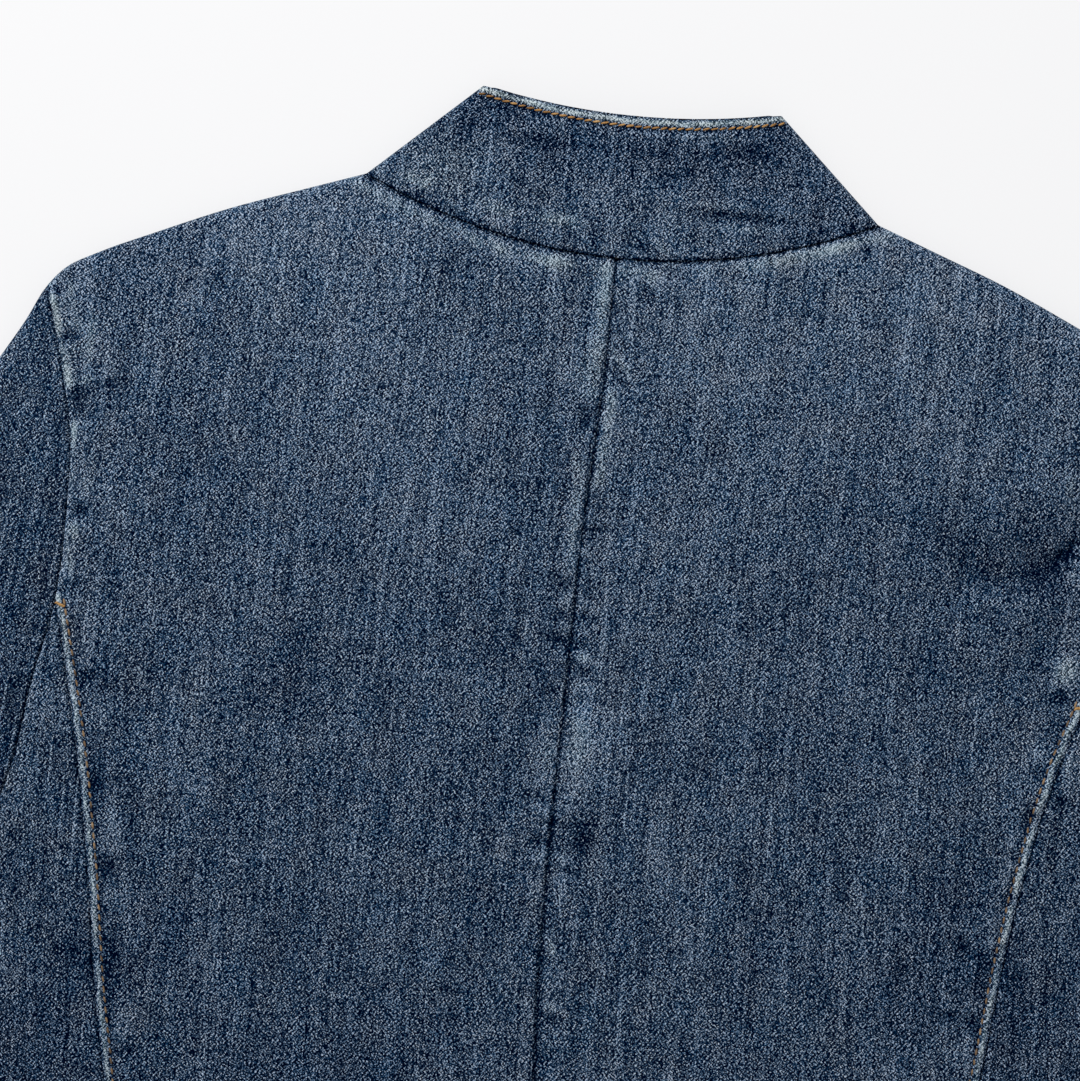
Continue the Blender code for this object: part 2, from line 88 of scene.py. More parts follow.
OUTER_EDGE = (
    PlanPoint(0.0530, 0.0560),  # top corner of the collar, whose side is straight
    PlanPoint(0.0907, 0.0212),  # foot of the collar, top of the shoulder
    PlanPoint(0.1120, 0.0135),
    PlanPoint(0.1365, 0.0045),
    PlanPoint(0.1634, -0.0073),
    PlanPoint(0.1820, -0.0160),
    PlanPoint(0.1930, -0.0225),
    PlanPoint(0.1985, -0.0290),  # shoulder tip
    PlanPoint(0.2053, -0.0427),
    PlanPoint(0.2116, -0.0540),
    PlanPoint(0.2300, -0.0840),
    PlanPoint(0.2620, -0.1220),
    PlanPoint(0.3200, -0.1850),
    PlanPoint(0.3850, -0.2640),
    PlanPoint(0.4380, -0.3520),
    PlanPoint(0.4750, -0.4460),
    PlanPoint(0.5020, -0.5400),  # cuff
)
COLLAR_CORNER, COLLAR_FOOT, SHOULDER_TIP = OUTER_EDGE[0], OUTER_EDGE[1], OUTER_EDGE[7]
ARMHOLE = (
    SHOULDER_TIP,
    PlanPoint(0.1944, -0.0426),
    PlanPoint(0.1883, -0.0624),
    PlanPoint(0.1835, -0.0810),
    PlanPoint(0.1813, -0.1090),
    PlanPoint(0.1818, -0.1390),  # the princess seam starts here
    PlanPoint(0.1875, -0.1700),
    PlanPoint(0.1910, -0.1950),
    PlanPoint(0.1960, -0.2140),
    PlanPoint(0.2065, -0.2400),
    PlanPoint(0.2210, -0.2660),  # underarm
)
PRINCESS_TOP, UNDERARM = ARMHOLE[5], ARMHOLE[-1]
PRINCESS = (
    PlanPoint(0.1380, HEM_Y),
    PlanPoint(0.1380, -0.4000),
    PlanPoint(0.1415, -0.3500),
    PlanPoint(0.1485, -0.3050),
    PlanPoint(0.1540, -0.2750),
    PlanPoint(0.1605, -0.2310),
    PlanPoint(0.1690, -0.1870),
    PRINCESS_TOP,
)
SIDE = (
    PlanPoint(0.2120, HEM_Y),
    PlanPoint(0.2090, -0.4100),
    PlanPoint(0.2100, -0.3700),
    PlanPoint(0.2155, -0.3100),
    UNDERARM,
)
SLEEVE_UNDER_EDGE = (
    UNDERARM,
    PlanPoint(0.2500, -0.3000),
    PlanPoint(0.2850, -0.3480),
    PlanPoint(0.3220, -0.4080),
    PlanPoint(0.3560, -0.4850),
    PlanPoint(0.3890, -0.5750),  # cuff
)

# The solids' own folds first, then the smaller creases of the cloth between them.
FOLDS = (
    Fold(0.184, -0.074, 0.138, -0.104, 0.013, -0.0022),  # drag at the right armhole
    Fold(0.182, -0.050, 0.150, -0.078, 0.013, 0.0014),
    Fold(-0.180, -0.150, -0.148, -0.176, 0.014, -0.0012),
    Fold(0.232, -0.250, 0.300, -0.205, 0.017, 0.0028),  # under the arms
    Fold(-0.236, -0.252, -0.312, -0.222, 0.019, 0.0026),
    Fold(0.300, -0.372, 0.384, -0.318, 0.016, 0.0030),  # elbows
    Fold(0.322, -0.404, 0.400, -0.362, 0.015, -0.0024),
    Fold(0.338, -0.434, 0.420, -0.402, 0.016, 0.0026),
    Fold(-0.308, -0.390, -0.398, -0.340, 0.018, 0.0030),
    Fold(-0.332, -0.424, -0.416, -0.386, 0.016, -0.0022),
    Fold(0.060, -0.330, 0.205, -0.362, 0.024, 0.0018),  # waist
    Fold(-0.040, -0.372, -0.200, -0.346, 0.026, 0.0018),
)
CREASES = (
    Fold(0.178, -0.088, 0.158, -0.092, 0.0045, -0.0014),  # deepest part of the right armhole's drag
    Fold(0.176, -0.100, 0.146, -0.112, 0.006, 0.0009),
    Fold(0.172, -0.116, 0.152, -0.134, 0.006, -0.0006),
    Fold(-0.176, -0.158, -0.156, -0.186, 0.006, -0.0006),
    Fold(-0.150, -0.206, -0.128, -0.226, 0.007, -0.0005),
    Fold(0.148, -0.196, 0.120, -0.214, 0.007, -0.0005),
    Fold(0.206, -0.248, 0.184, -0.262, 0.006, 0.0008),  # side panels, under the arms
    Fold(0.212, -0.286, 0.166, -0.292, 0.007, -0.0008),
    Fold(-0.208, -0.252, -0.180, -0.272, 0.006, 0.0008),
    Fold(-0.212, -0.300, -0.170, -0.310, 0.008, -0.0009),
    Fold(0.205, -0.330, 0.168, -0.344, 0.007, 0.0009),
    Fold(-0.206, -0.336, -0.160, -0.330, 0.007, 0.0008),
    Fold(0.126, -0.345, 0.040, -0.352, 0.007, -0.0008),  # waist
    Fold(-0.122, -0.336, -0.052, -0.350, 0.008, -0.0009),
    Fold(0.116, -0.376, 0.062, -0.386, 0.007, 0.0006),
    Fold(0.214, -0.086, 0.236, -0.118, 0.005, 0.0007),  # sleeve heads
    Fold(0.206, -0.116, 0.242, -0.168, 0.006, -0.0009),
    Fold(-0.204, -0.096, -0.226, -0.142, 0.005, 0.0008),
    Fold(-0.198, -0.130, -0.232, -0.196, 0.006, -0.0009),
    Fold(-0.196, -0.168, -0.214, -0.226, 0.005, 0.0007),
    Fold(0.226, -0.262, 0.276, -0.244, 0.006, -0.0012),
    Fold(0.240, -0.286, 0.296, -0.262, 0.007, 0.0012),
    Fold(-0.230, -0.266, -0.284, -0.252, 0.007, -0.0012),
    Fold(-0.252, -0.300, -0.318, -0.272, 0.007, 0.0013),
    Fold(0.278, -0.332, 0.340, -0.292, 0.008, -0.0013),  # upper arms
    Fold(-0.282, -0.336, -0.352, -0.300, 0.008, -0.0014),
    Fold(0.312, -0.386, 0.372, -0.350, 0.006, -0.0010),  # elbows
    Fold(0.330, -0.420, 0.392, -0.392, 0.006, 0.0011),
    Fold(-0.320, -0.404, -0.388, -0.372, 0.006, 0.0012),
    Fold(-0.340, -0.446, -0.404, -0.424, 0.007, -0.0011),
    Fold(0.352, -0.470, 0.424, -0.446, 0.008, -0.0011),  # lower arms
    Fold(-0.354, -0.478, -0.436, -0.452, 0.008, 0.0010),
    Fold(0.372, -0.520, 0.452, -0.500, 0.009, 0.0010),
    Fold(-0.380, -0.536, -0.456, -0.516, 0.009, -0.0009),
    Fold(0.030, 0.016, 0.083, 0.020, 0.0026, -0.0006),  # collar, beside its foot
    Fold(0.026, 0.011, 0.078, 0.0165, 0.0026, 0.0006),
    Fold(-0.052, 0.040, -0.030, 0.024, 0.005, 0.0004),
    Fold(-0.064, 0.030, -0.046, 0.016, 0.005, -0.0004),
)
FOLDS_END = 0.020  # folds and creases fade out this near the outline
CREASES_END = 0.006

# Puckers and worn places, most of them beside the seams, in millimetres, degrees from the weft and luma;
# their luma is wear in part, and in part painted shade in hollows and creases and painted light on raised
# places.
MARKS = [Mark(*row) for row in (
    (178, -228, 60, 22, 90, 0, 6),
    (-50, 24, 20, 14, 40, 0, 6),
    (-2.9, -13.3, 11.8, 3, 90, 0.4, 43),
    (-4.5, -38.8, 10.5, 5.6, 92, 0, 33),
    (-11.2, -42.3, 3.9, 3.6, 86, 0.1, 12),
    (-11.7, -5.8, 2, 2.1, 6, -0.7, -55),
    (-22.5, -4, 6.1, 2.5, -4, 0.5, 52),
    (-40.3, -2, 3.6, 1.3, -44, 0.5, 46),
    (8.7, 4.4, 6, 1.7, -19, -0.6, -49),
    (14.9, 5.4, 4.4, 1.3, -42, 0.3, 31),
    (22.5, -3.3, 6, 1.7, -6, -0.7, -57),
    (39.1, -0.9, 4.8, 1.7, 6, -0.5, -42),
    (12.5, -11.8, 3.6, 2.1, -34, -0.7, -55),
    (13.1, -7.5, 5.2, 1.5, -54, 0.3, 31),
    (22.9, -13.9, 4, 2.1, -14, -0.4, -31),
    (6.3, -30.7, 2, 2.1, 6, -0.7, -52),
    (7.5, -39.3, 9.6, 1.3, -46, 0.3, 29),
    (5.7, -42.3, 6.4, 1.1, -46, -0.4, -34),
    (3.3, -53.1, 7, 2.5, 88, 0.4, 39),
    (-5.4, -57.2, 3.6, 2.5, 94, -0.9, -68),
    (1.8, -73, 11.8, 3, 90, 0.4, 41),
    (-7.3, -73.2, 7, 2.5, 92, 0.2, 24),
    (-5.3, -96.6, 18.4, 3, 92, 0.4, 36),
    (3.8, -96, 5, 2.2, 11, -0.9, -66),
    (3.8, -85.8, 5.9, 3.1, 90, -0.3, -24),
    (0, -104.1, 2.6, 2, 6, 0.3, 26),
    (-6.8, -116.4, 2.5, 2.2, 6, -0.7, -56),
    (2.1, -117.6, 2.5, 2.6, 6, -0.7, -52),
    (-6.9, -122.1, 3.1, 2, 6, 0.2, 21),
    (2.2, -122.6, 3.1, 2, 6, 0.2, 21),
    (-6.8, -127, 2.5, 2.6, 6, -0.8, -60),
    (2, -126.8, 2.9, 3.1, 6, -0.8, -60),
    (-6.3, -135.4, 3.4, 2.2, -19, -1, -74),
    (-0.2, -136.2, 4.2, 2.2, -19, -0.9, -70),
    (2.3, -140.5, 3.9, 2, -29, 0.5, 52),
    (2.8, -145.4, 3.8, 1.8, -29, -1, -74),
    (-6.1, -144.5, 3.4, 1.8, -14, -0.6, -46),
    (3, -150.6, 4.4, 1.8, 1, 0.3, 32),
    (-7.5, -154.5, 4.2, 2.2, 92, -0.9, -70),
    (3.1, -155.5, 2.9, 1.3, 6, -0.4, -28),
    (5.1, -171.5, 15.7, 7.1, 94, 0, 42),
    (3.8, -168.8, 6.1, 3.6, 94, 0.1, 10),
    (-7.2, -174.9, 14.4, 4.6, 94, 0, 32),
    (-7.7, -190.8, 5.9, 1.8, 1, -0.6, -49),
    (-7.9, -196, 3.9, 2.5, 6, 0.3, 25),
    (-4.7, -199.6, 3.4, 1.3, 6, -0.8, -63),
    (5.8, -199.2, 7.1, 1.4, 6, -0.7, -56),
    (-5.8, -206, 2.9, 2, 6, -0.8, -63),
    (8.2, -205.3, 5.5, 3.5, 6, -0.9, -70),
    (2.2, -211.9, 3.5, 1.5, -29, 0.4, 41),
    (4.3, -215.9, 3.8, 1.8, 6, -0.6, -47),
    (-6.4, -211, 3.5, 2.5, 6, 0.3, 32),
    (-6.9, -216, 2.1, 1.8, 6, -0.6, -44),
    (-5.3, -221.8, 4.4, 3, 90, 0.3, 25),
    (2.6, -223.5, 5.7, 2.5, 94, 0.3, 34),
    (1.8, -242.9, 4.8, 2, -56, 0.5, 48),
    (3.6, -253.6, 3.9, 3.6, 94, 0.3, 29),
    (3.6, -263.8, 3.9, 2, -24, 0.5, 53),
    (5, -267.6, 4.2, 1.5, -19, -0.9, -70),
    (-7.1, -266, 4, 1.7, -44, -0.5, -36),
    (-4.8, -264.7, 3.9, 1.5, -54, 0.3, 30),
    (3.6, -281.4, 2.9, 2.2, 6, -0.6, -46),
    (65.3, -213.2, 7.2, 2.1, 92, -0.4, -34),
    (-194.1, -38.7, 8, 1.3, -72, 0.7, 74),
    (-180.7, -46.5, 10.1, 1.5, 92, 0.5, 47),
    (-186.4, -45.3, 15.3, 6.3, 92, 0, 21),
    (-187.4, -60.2, 5.6, 1.3, -74, 0.7, 72),
    (-181.2, -62, 4.8, 1.3, 21, 0.5, 47),
    (-188.4, -46.6, 2.8, 2.3, 6, -1, -84),
    (-182.7, -67.8, 4, 4, 6, -1.1, -84),
    (-173.8, -62.3, 6.8, 1.4, 14, -0.6, -44),
    (-181.1, -73.3, 2.8, 2.1, 6, -0.5, -39),
    (-170.8, -57.5, 4.8, 0.9, -34, 0.3, 26),
    (-182.9, -80.5, 5.6, 1.1, 94, 0.7, 65),
    (-178.8, -85.4, 3.2, 1.3, 6, -0.4, -34),
    (-176.4, -95.7, 9.7, 4.2, 92, 0, 23),
    (-172.4, -93.2, 12.9, 1.3, 92, 0.2, 23),
    (-178, -107.1, 3.6, 2.7, 6, -1.1, -84),
    (-179.4, -114.6, 4.4, 2.1, 92, 0.6, 60),
    (-175.5, -118.4, 2.4, 2.5, 6, -0.4, -29),
    (-180, -125.9, 5.6, 1.3, 98, 0.6, 60),
    (-176.8, -132.7, 2.4, 2.1, 6, -0.6, -49),
    (-171, -148.6, 12.9, 2.1, 94, 0.3, 31),
    (-164.1, -133.1, 8, 2.5, 90, -0.4, -31),
    (-170.4, -165.4, 3.6, 2.7, 6, -0.9, -68),
    (-162.7, -168.2, 3.6, 1.7, 6, -0.6, -44),
    (-195.3, -30.7, 4, 1.1, 16, 0, -70),
    (-190.1, -30.2, 2.4, 1.7, 66, 0, 30),
    (135.1, -90.4, 24.1, 5.5, -27, 0, -22),
    (149.9, -97.3, 15.3, 3.4, -2, -0.3, -26),
    (138, -97.5, 2.8, 2.5, 6, 0, -12),
    (167.8, -86.7, 8.4, 1.5, 48, -1.9, -72),
    (159.5, -95, 7.2, 2.5, 26, -0.3, -30),
    (165.7, -69.7, 12.1, 3.8, 90, 0.3, 22),
    (166.2, -63.3, 4.4, 1.3, 90, 0.3, 26),
    (170, -94.6, 3.2, 2.5, 6, 0.4, 42),
    (160.8, -124.7, 10.5, 2.5, 92, -0.5, -36),
    (171, -128.6, 5.6, 5, 6, 0, 66),
    (169.9, -137.9, 3.6, 3.1, 6, -0.8, -62),
    (139.3, -28.1, 4, 2.1, 90, -0.4, -34),
    (117.2, -35.2, 2.4, 2.1, 6, -0.3, -26),
    (139.9, -113.1, 5.6, 3.8, 6, -0.3, -21),
    (107.8, -39.4, 24.5, 2.8, 92, 0.1, 9),
    (-163.3, -179.5, 6.4, 2.1, 98, 0.2, 23),
    (-149.1, -184.4, 5.6, 1.7, 94, 0.2, 18),
    (-163.5, -201.7, 4, 2.9, 96, -0.7, -57),
    (-155.4, -215.3, 10.1, 4.2, 98, 0, 42),
    (-156, -230.1, 3.2, 2.9, 6, -0.9, -73),
    (-150.7, -241.5, 8, 3.8, 100, 0.2, 20),
    (-151.1, -261.3, 8.9, 3.8, 98, -0.6, -48),
    (-152.1, -265.6, 4, 2.1, 96, -0.3, -21),
    (-166.9, -261.5, 6.4, 5, 86, 0, -34),
    (-158.1, -265.1, 8, 2.5, 94, -0.4, -34),
    (-144.8, -284.9, 6.4, 3.4, 94, 0.3, 29),
    (-143.9, -294.6, 4, 2.1, 6, -0.7, -55),
    (-142.9, -300.9, 4, 2.1, 6, 0.2, 23),
    (-170.9, -218.9, 11.9, 4.9, 94, 0, 8),
    (-180.4, -180.5, 12.6, 4.2, 94, 0, 10),
    (163.4, -157.9, 4.8, 3.4, 76, 0.3, 32),
    (164.5, -164.5, 2.4, 2.5, 6, -0.6, -44),
    (163.8, -171.6, 2.8, 2.4, 6, 0.1, 12),
    (163.7, -181.4, 3.6, 2.9, 76, -0.8, -62),
    (159.9, -188.9, 3.6, 2.9, 6, 0.2, 20),
    (158.7, -194.6, 1.8, 1.9, 6, -0.7, -55),
    (158.1, -202.1, 5.6, 4.6, 76, 0, 34),
    (159.9, -209.6, 2.4, 2.5, 6, -0.7, -57),
    (153.5, -219.4, 7.6, 5.5, 76, 0, 31),
    (154.5, -225.6, 4, 1.3, 11, 0.3, 29),
    (144.9, -227.7, 5.2, 2.1, -39, -0.6, -44),
    (155.2, -232.6, 4.8, 4.2, 6, 0, -49),
    (151.9, -241.7, 2.4, 2.5, 6, -0.5, -39),
    (150.8, -248.5, 5.6, 3.4, 6, 0.3, 29),
    (142.9, -253.2, 3.2, 1.7, 6, -0.7, -57),
    (150.8, -254.9, 3.2, 2.5, 86, -0.7, -57),
    (149.3, -264.5, 7.2, 3.8, 84, 0.4, 36),
    (174.3, -174.7, 2.8, 1.7, 6, -0.7, -55),
    (175.9, -162.6, 8, 3.4, 81, 0.3, 29),
    (163.3, -239.9, 6, 2.5, 84, -0.3, -21),
    (-24, 38.4, 17.3, 2.7, -2, -0.5, -35),
    (27.5, 37.6, 28.9, 4.2, 8, 0, -29),
    (40.8, 41.8, 9.2, 1.9, 8, -0.4, -32),
    (28.8, 45.1, 15.4, 1.9, 2, 0.4, 35),
    (-24.2, 44.7, 3.5, 1.5, 86, 0.4, 35),
    (-5.8, 43, 3.8, 1.5, 86, 0.3, 32),
    (-55.6, 41.8, 5.4, 2.3, 56, -0.5, -35),
    (-63.1, 26, 18.2, 11.9, 46, 0, 22),
    (-43.2, 12.9, 7.7, 2.7, -14, 0.3, 32),
    (-21.2, 11.2, 8.5, 2.7, -4, 0.5, 48),
    (-34.7, 22.9, 2.7, 2.3, 6, -0.3, -26),
    (17.5, 28.9, 6.2, 3.1, 6, -0.4, -29),
    (41.4, 18.6, 18.5, 1.2, -1, -0.9, -66),
    (42.5, 14.5, 15.4, 1.5, 1, 0.2, 24),
    (36.8, 22, 13.9, 1.5, 2, 0.2, 21),
    (-69.5, 19, 3.8, 1.5, 66, 0.4, 35),
    (-72.3, 15.5, 4.6, 1.5, -54, -0.6, -45),
    (-53.8, 0.2, 4.8, 1.3, -49, -0.4, -34),
    (-51.1, 0.8, 5.6, 1.3, -44, 0.3, 31),
    (63.5, 8.2, 22.1, 2.5, 16, 0.4, 42),
    (77.9, 12.1, 7.2, 2.1, 24, 0.3, 34),
    (86, 11.9, 4, 2.1, -44, -0.5, -39),
    (-114.7, -2.9, 35, 5.6, 23, 0, 8),
    (-112.5, -163.8, 9.1, 18.2, 90, 0, -9),
    (-51.5, -175.2, 10.5, 17.5, 90, 0, 9),
    (53.7, -171.5, 9.8, 24.5, 90, 0, -10),
    (-96.8, -144.6, 12.1, 5, 82, 0, -18),
    (-134.2, -106.2, 4.9, 15.7, 92, 0, -8),
    (7.7, 38.4, 11.5, 3.5, 12, -0.4, -32),
    (20.7, 32, 8.5, 2.7, 8, -0.4, -29),
    (-31.4, 35.9, 8.5, 3.1, 0, -0.3, -26),
    (-67.3, 14.6, 5.4, 1.9, -36, -0.6, -48),
    (-74.2, 20.3, 4.6, 1.9, -34, 0.4, 38),
    (69.8, 15.5, 11.5, 1.9, 18, -0.7, -54),
)]

# The back's luma at these heights: palest at the neck seam, darkest at the hem.
BACK_TONES = (
    Tone(-0.455, 57),
    Tone(-0.290, 58),
    Tone(-0.215, 60),
    Tone(-0.140, 65),
    Tone(-0.070, 74),
    Tone(-0.020, 82),
    Tone(0.000, 85),
    Tone(0.060, 80),
)

# How far the back slips sideways at the left princess seam, the centre and the right one, in millimetres.
Sway = namedtuple("Sway", "y left centre right")
SWAY = (
    Sway(-0.400, 0.0, 0.0, 0.0),
    Sway(-0.330, -0.8, 0.0, 1.0),
    Sway(-0.288, -1.8, 0.4, 2.2),
    Sway(-0.262, -2.2, -1.6, 1.0),
    Sway(-0.215, -2.8, -2.6, -1.5),
    Sway(-0.160, -2.8, -2.5, -3.9),
    Sway(-0.100, -2.0, -2.2, -2.5),
    Sway(-0.045, 0.0, 0.0, 0.0),
)
SWAY_REACH = 0.170  # distance of those two seams from the centre back
SWAY_END = 0.215  # the slip ends here, in the sleeves

# How the cloth stands and how its luma changes beside each seam, by distance from it in millimetres: the
# ribs that stand up are paler where worn, and painted shade darkens the ditches and the low bands beside
# them.
Rib = namedtuple("Rib", "centre width lift fade")
CENTRE_SEAM = (Rib(0.0, 0.75, -1.20, -72), Rib(3.4, 2.4, 0.30, 12), Rib(7.4, 1.2, 0.12, 6))
PRINCESS_LAP = (Rib(1.5, 1.05, 0.80, 92), Rib(3.3, 0.7, -0.30, -34), Rib(7.0, 3.0, 0.10, 3))
PRINCESS_UNDER = (Rib(0.0, 0.95, -1.00, -46), Rib(2.8, 1.0, 0.15, 8), Rib(5.5, 2.5, 0.10, -4))
ARMHOLE_LAP = (
    Rib(0.9, 0.9, 0.45, 28),
    Rib(4.6, 2.6, 0.20, 10),
    Rib(8.3, 1.3, 0.25, 12),
    Rib(11.5, 1.8, -0.10, -6),
)
ARMHOLE_UNDER = (Rib(0.0, 0.8, -1.20, -44), Rib(2.4, 0.8, 0.35, 10), Rib(4.6, 2.4, -0.25, -16))
NECK_SEAM = (Rib(0.0, 1.5, -1.60, -84), Rib(4.7, 2.5, 0.35, 22))
COLLAR_SEAM = (Rib(0.0, 0.7, -0.40, -56), Rib(2.8, 1.3, 0.45, 8))
COLLAR_EDGE = (Rib(1.3, 0.95, 0.20, 115), Rib(3.5, 0.8, -0.35, -44), Rib(7.0, 3.5, -0.10, -6))
HEM_EDGE = (Rib(1.5, 1.5, 0.10, 14), Rib(17.5, 1.2, -0.25, -10), Rib(20.5, 1.2, 0.20, 5))
Seam = namedtuple("Seam", "line ribs pucker seed")

# Distances of the cloth's points from a seam, from the outline and from a hem.
SEAM_STEPS = MM * np.array(
    [0, 0.5, 0.9, 1.4, 2.0, 2.7, 3.4, 4.2, 5.1, 6.1, 7.2, 8.4, 9.7, 11.1, 12.6, 14.2, 16.0]
)
FOLD_STEPS = np.concatenate(
    [FOLD_RADIUS * (1 - np.cos(np.linspace(0, np.pi / 2, 7))), MM * np.array([4.4, 5.6, 7.2, 9.2])]
)
HEM_STEPS = MM * np.array([0, 2.2, 3.4, 5.0, 7.0, 9.4, 12.0, 14.6, 16.6, 18.2, 20.0, 22.0])
PLAIN_END = np.array([0.0])
HEM_ARC = np.linspace(0, np.pi, 7)
HEM_INSIDE = np.array([HEM_TURN, 0.6 * HEM_TURN, 0.25 * HEM_TURN])
AT_ONCE = 4000  # plan points worked on together

neck_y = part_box("front_right")[0].y - HEM_Y
IN_FRAME = np.array([0, neck_y, 0])


def smooth_curve(rows):
    """Dense plan curve through the rows of a table."""
    points = np.array(rows, float)
    steps = np.linalg.norm(np.diff(points, axis=0), axis=1)
    knots = np.concatenate([[0], np.cumsum(steps)])
    lean = np.gradient(points, knots, axis=0)
    place = np.linspace(0, knots[-1], CURVE_STEPS)
    before = np.clip(np.searchsorted(knots, place, side="right") - 1, 0, len(points) - 2)
    span = steps[before]
    t = ((place - knots[before]) / span)[:, None]
    span = span[:, None]
    return (
        (2 * t**3 - 3 * t**2 + 1) * points[before]
        + (t**3 - 2 * t**2 + t) * span * lean[before]
        + (3 * t**2 - 2 * t**3) * points[before + 1]
        + (t**3 - t**2) * span * lean[before + 1]
    )


def lengths_of(points):
    return np.concatenate([[0], np.cumsum(np.linalg.norm(np.diff(points, axis=0), axis=1))])


def part_of(curve, start, end):
    first = np.linalg.norm(curve - start, axis=1).argmin()
    last = np.linalg.norm(curve - end, axis=1).argmin()
    piece = curve[first : last + 1].copy()
    piece[0], piece[-1] = start, end
    return piece


def stations(curve, shares):
    length = lengths_of(curve)
    place = np.asarray(shares) * length[-1]
    return np.stack([np.interp(place, length, curve[:, axis]) for axis in (0, 1)], axis=1)


def spaced(curve, start, end, count):
    """Shares of a curve's length: the given distances at its ends, and count even steps between them."""
    length = lengths_of(curve)[-1]
    between = np.linspace(start[-1], length - end[-1], count + 1)
    return np.concatenate([start[:-1], between, length - end[-2::-1]]) / length


def points_along(curve, start, end, count):
    return stations(curve, spaced(curve, start, end, count))


def shares_of(points):
    return lengths_of(points) / lengths_of(points)[-1]


def unit(vectors):
    return vectors / np.linalg.norm(vectors, axis=-1, keepdims=True)


def extended(curve, at_start, at_end):
    """The curve with straight ends added, so that an open edge of cloth isn't rounded as a fold is."""
    first = curve[0] + unit(curve[0] - curve[1]) * OPEN_END
    last = curve[-1] + unit(curve[-1] - curve[-2]) * OPEN_END
    return np.concatenate([[first]] * at_start + [curve] + [[last]] * at_end)


def edge_of(points, turn):
    """An edge of the outline. The cloth lies to its left if turn is 1, to its right if -1."""
    run = unit(np.diff(points, axis=0))
    return Edge(points, turn * np.stack([-run[:, 1], run[:, 0]], axis=1))


def both_sides(edge):
    flip = np.array([-1, 1])
    return edge, Edge(edge.points * flip, edge.inward * flip)


arm_curve = smooth_curve(OUTER_EDGE[1:])
armhole_curve = smooth_curve(ARMHOLE)
princess_curve = smooth_curve(PRINCESS)
side_curve = smooth_curve(SIDE)
under_curve = smooth_curve(SLEEVE_UNDER_EDGE)
collar_side = np.array([COLLAR_CORNER, COLLAR_FOOT])
shoulder_curve = part_of(arm_curve, COLLAR_FOOT, SHOULDER_TIP)
over_curve = part_of(arm_curve, SHOULDER_TIP, OUTER_EDGE[-1])
armhole_upper = part_of(armhole_curve, SHOULDER_TIP, PRINCESS_TOP)
armhole_lower = part_of(armhole_curve, PRINCESS_TOP, UNDERARM)
armhole_curve = np.concatenate([armhole_upper, armhole_lower[1:]])
neck_x = np.linspace(0, COLLAR_FOOT.x, CURVE_STEPS)
neck_curve = np.column_stack([neck_x, COLLAR_FOOT.y * (neck_x / COLLAR_FOOT.x) ** 2])
top_x = np.linspace(0, COLLAR_CORNER.x, CURVE_STEPS)
top_curve = np.column_stack([top_x, COLLAR_CORNER.y - COLLAR_DIP * (1 - (top_x / COLLAR_CORNER.x) ** 2)])
centre_line = np.array([(0, HEM_Y), (0, 0)], float)
hem_line = np.array([(0, HEM_Y), (SIDE[0].x, HEM_Y)], float)
cuff_line = np.array([over_curve[-1], under_curve[-1]])
whole_edge = np.concatenate([collar_side, shoulder_curve[1:], over_curve[1:]])
OUTLINE = (
    *both_sides(edge_of(extended(whole_edge, True, True), -1)),
    *both_sides(edge_of(extended(under_curve, False, True), 1)),
    *both_sides(edge_of(extended(side_curve, True, False), 1)),
)


def nearest(plan, line):
    """Offset of plan points from the nearest place of a line, its segment, and the length up to it."""
    run = np.diff(line, axis=0)
    square = (run * run).sum(-1)
    passed = lengths_of(line)[:-1]
    found = []
    for some in np.array_split(plan, len(plan) // AT_ONCE + 1):
        offset = some[:, None] - line[None, :-1]
        share = np.clip((offset * run).sum(-1) / square, 0, 1)
        away = offset - share[..., None] * run
        segment = (away * away).sum(-1).argmin(axis=1)
        each = np.arange(len(some))
        along = passed[segment] + share[each, segment] * np.sqrt(square[segment])
        found.append(np.column_stack([away[each, segment], segment, along]))
    found = np.concatenate(found)
    return found[:, :2], found[:, 2].astype(int), found[:, 3]


def outline_distance(plan):
    """Distance inside the outline, evened out between its edges, and how it grows in x and y."""
    total = np.zeros(len(plan))
    pull = np.zeros_like(plan)
    for edge in OUTLINE:
        away, segment, _ = nearest(plan, edge.points)
        near = np.maximum(np.linalg.norm(away, axis=1), TOUCHING)
        inward = edge.inward[segment]
        strays = (near < STRAY) & ((away * inward).sum(-1) < 0)
        off = (near > ON_EDGE) & ~strays
        towards = np.where(off[:, None], away / near[:, None], inward)
        total += near**-2.0
        pull += near[:, None] ** -3.0 * towards
    distance = total**-0.5
    return distance, pull * distance[:, None] ** 3


Laid = namedtuple("Laid", "plan grain points normals distance face")


def lay(plan, face):
    """How plan points [row][column] of the right half lie on the cloth, before folds and creases."""
    flat = plan.reshape(-1, 2)
    distance, grows = outline_distance(flat)
    across = 1 - np.clip(distance / FOLD_RADIUS, 0, 1)
    rise = np.sqrt(np.maximum(1 - across**2, STEEPEST))
    slope = across / rise
    height = FOLD_RADIUS * (1 - rise)
    up = -1
    if face == BACK:
        inland = np.clip(1 - distance / LOFT_REACH, 0, 1)
        loft = LOFT - 2 * FOLD_RADIUS
        height = FOLD_RADIUS * (1 + rise) + SEAM_GAP + loft * (1 - inland**2)
        slope = slope + 2 * loft * inland / LOFT_REACH
        up = 1
    normals = unit(np.column_stack([-slope[:, None] * grows, np.full(len(flat), up)]))
    rolled = FOLD_RADIUS * (np.arccos(across) + across - np.pi / 2)
    grain = (flat + grows * rolled[:, None]).reshape(plan.shape)
    shape = plan.shape[:2]
    points = np.column_stack([flat, height]).reshape(*shape, 3)
    return Laid(plan, grain, points, normals.reshape(*shape, 3), distance.reshape(shape), face)


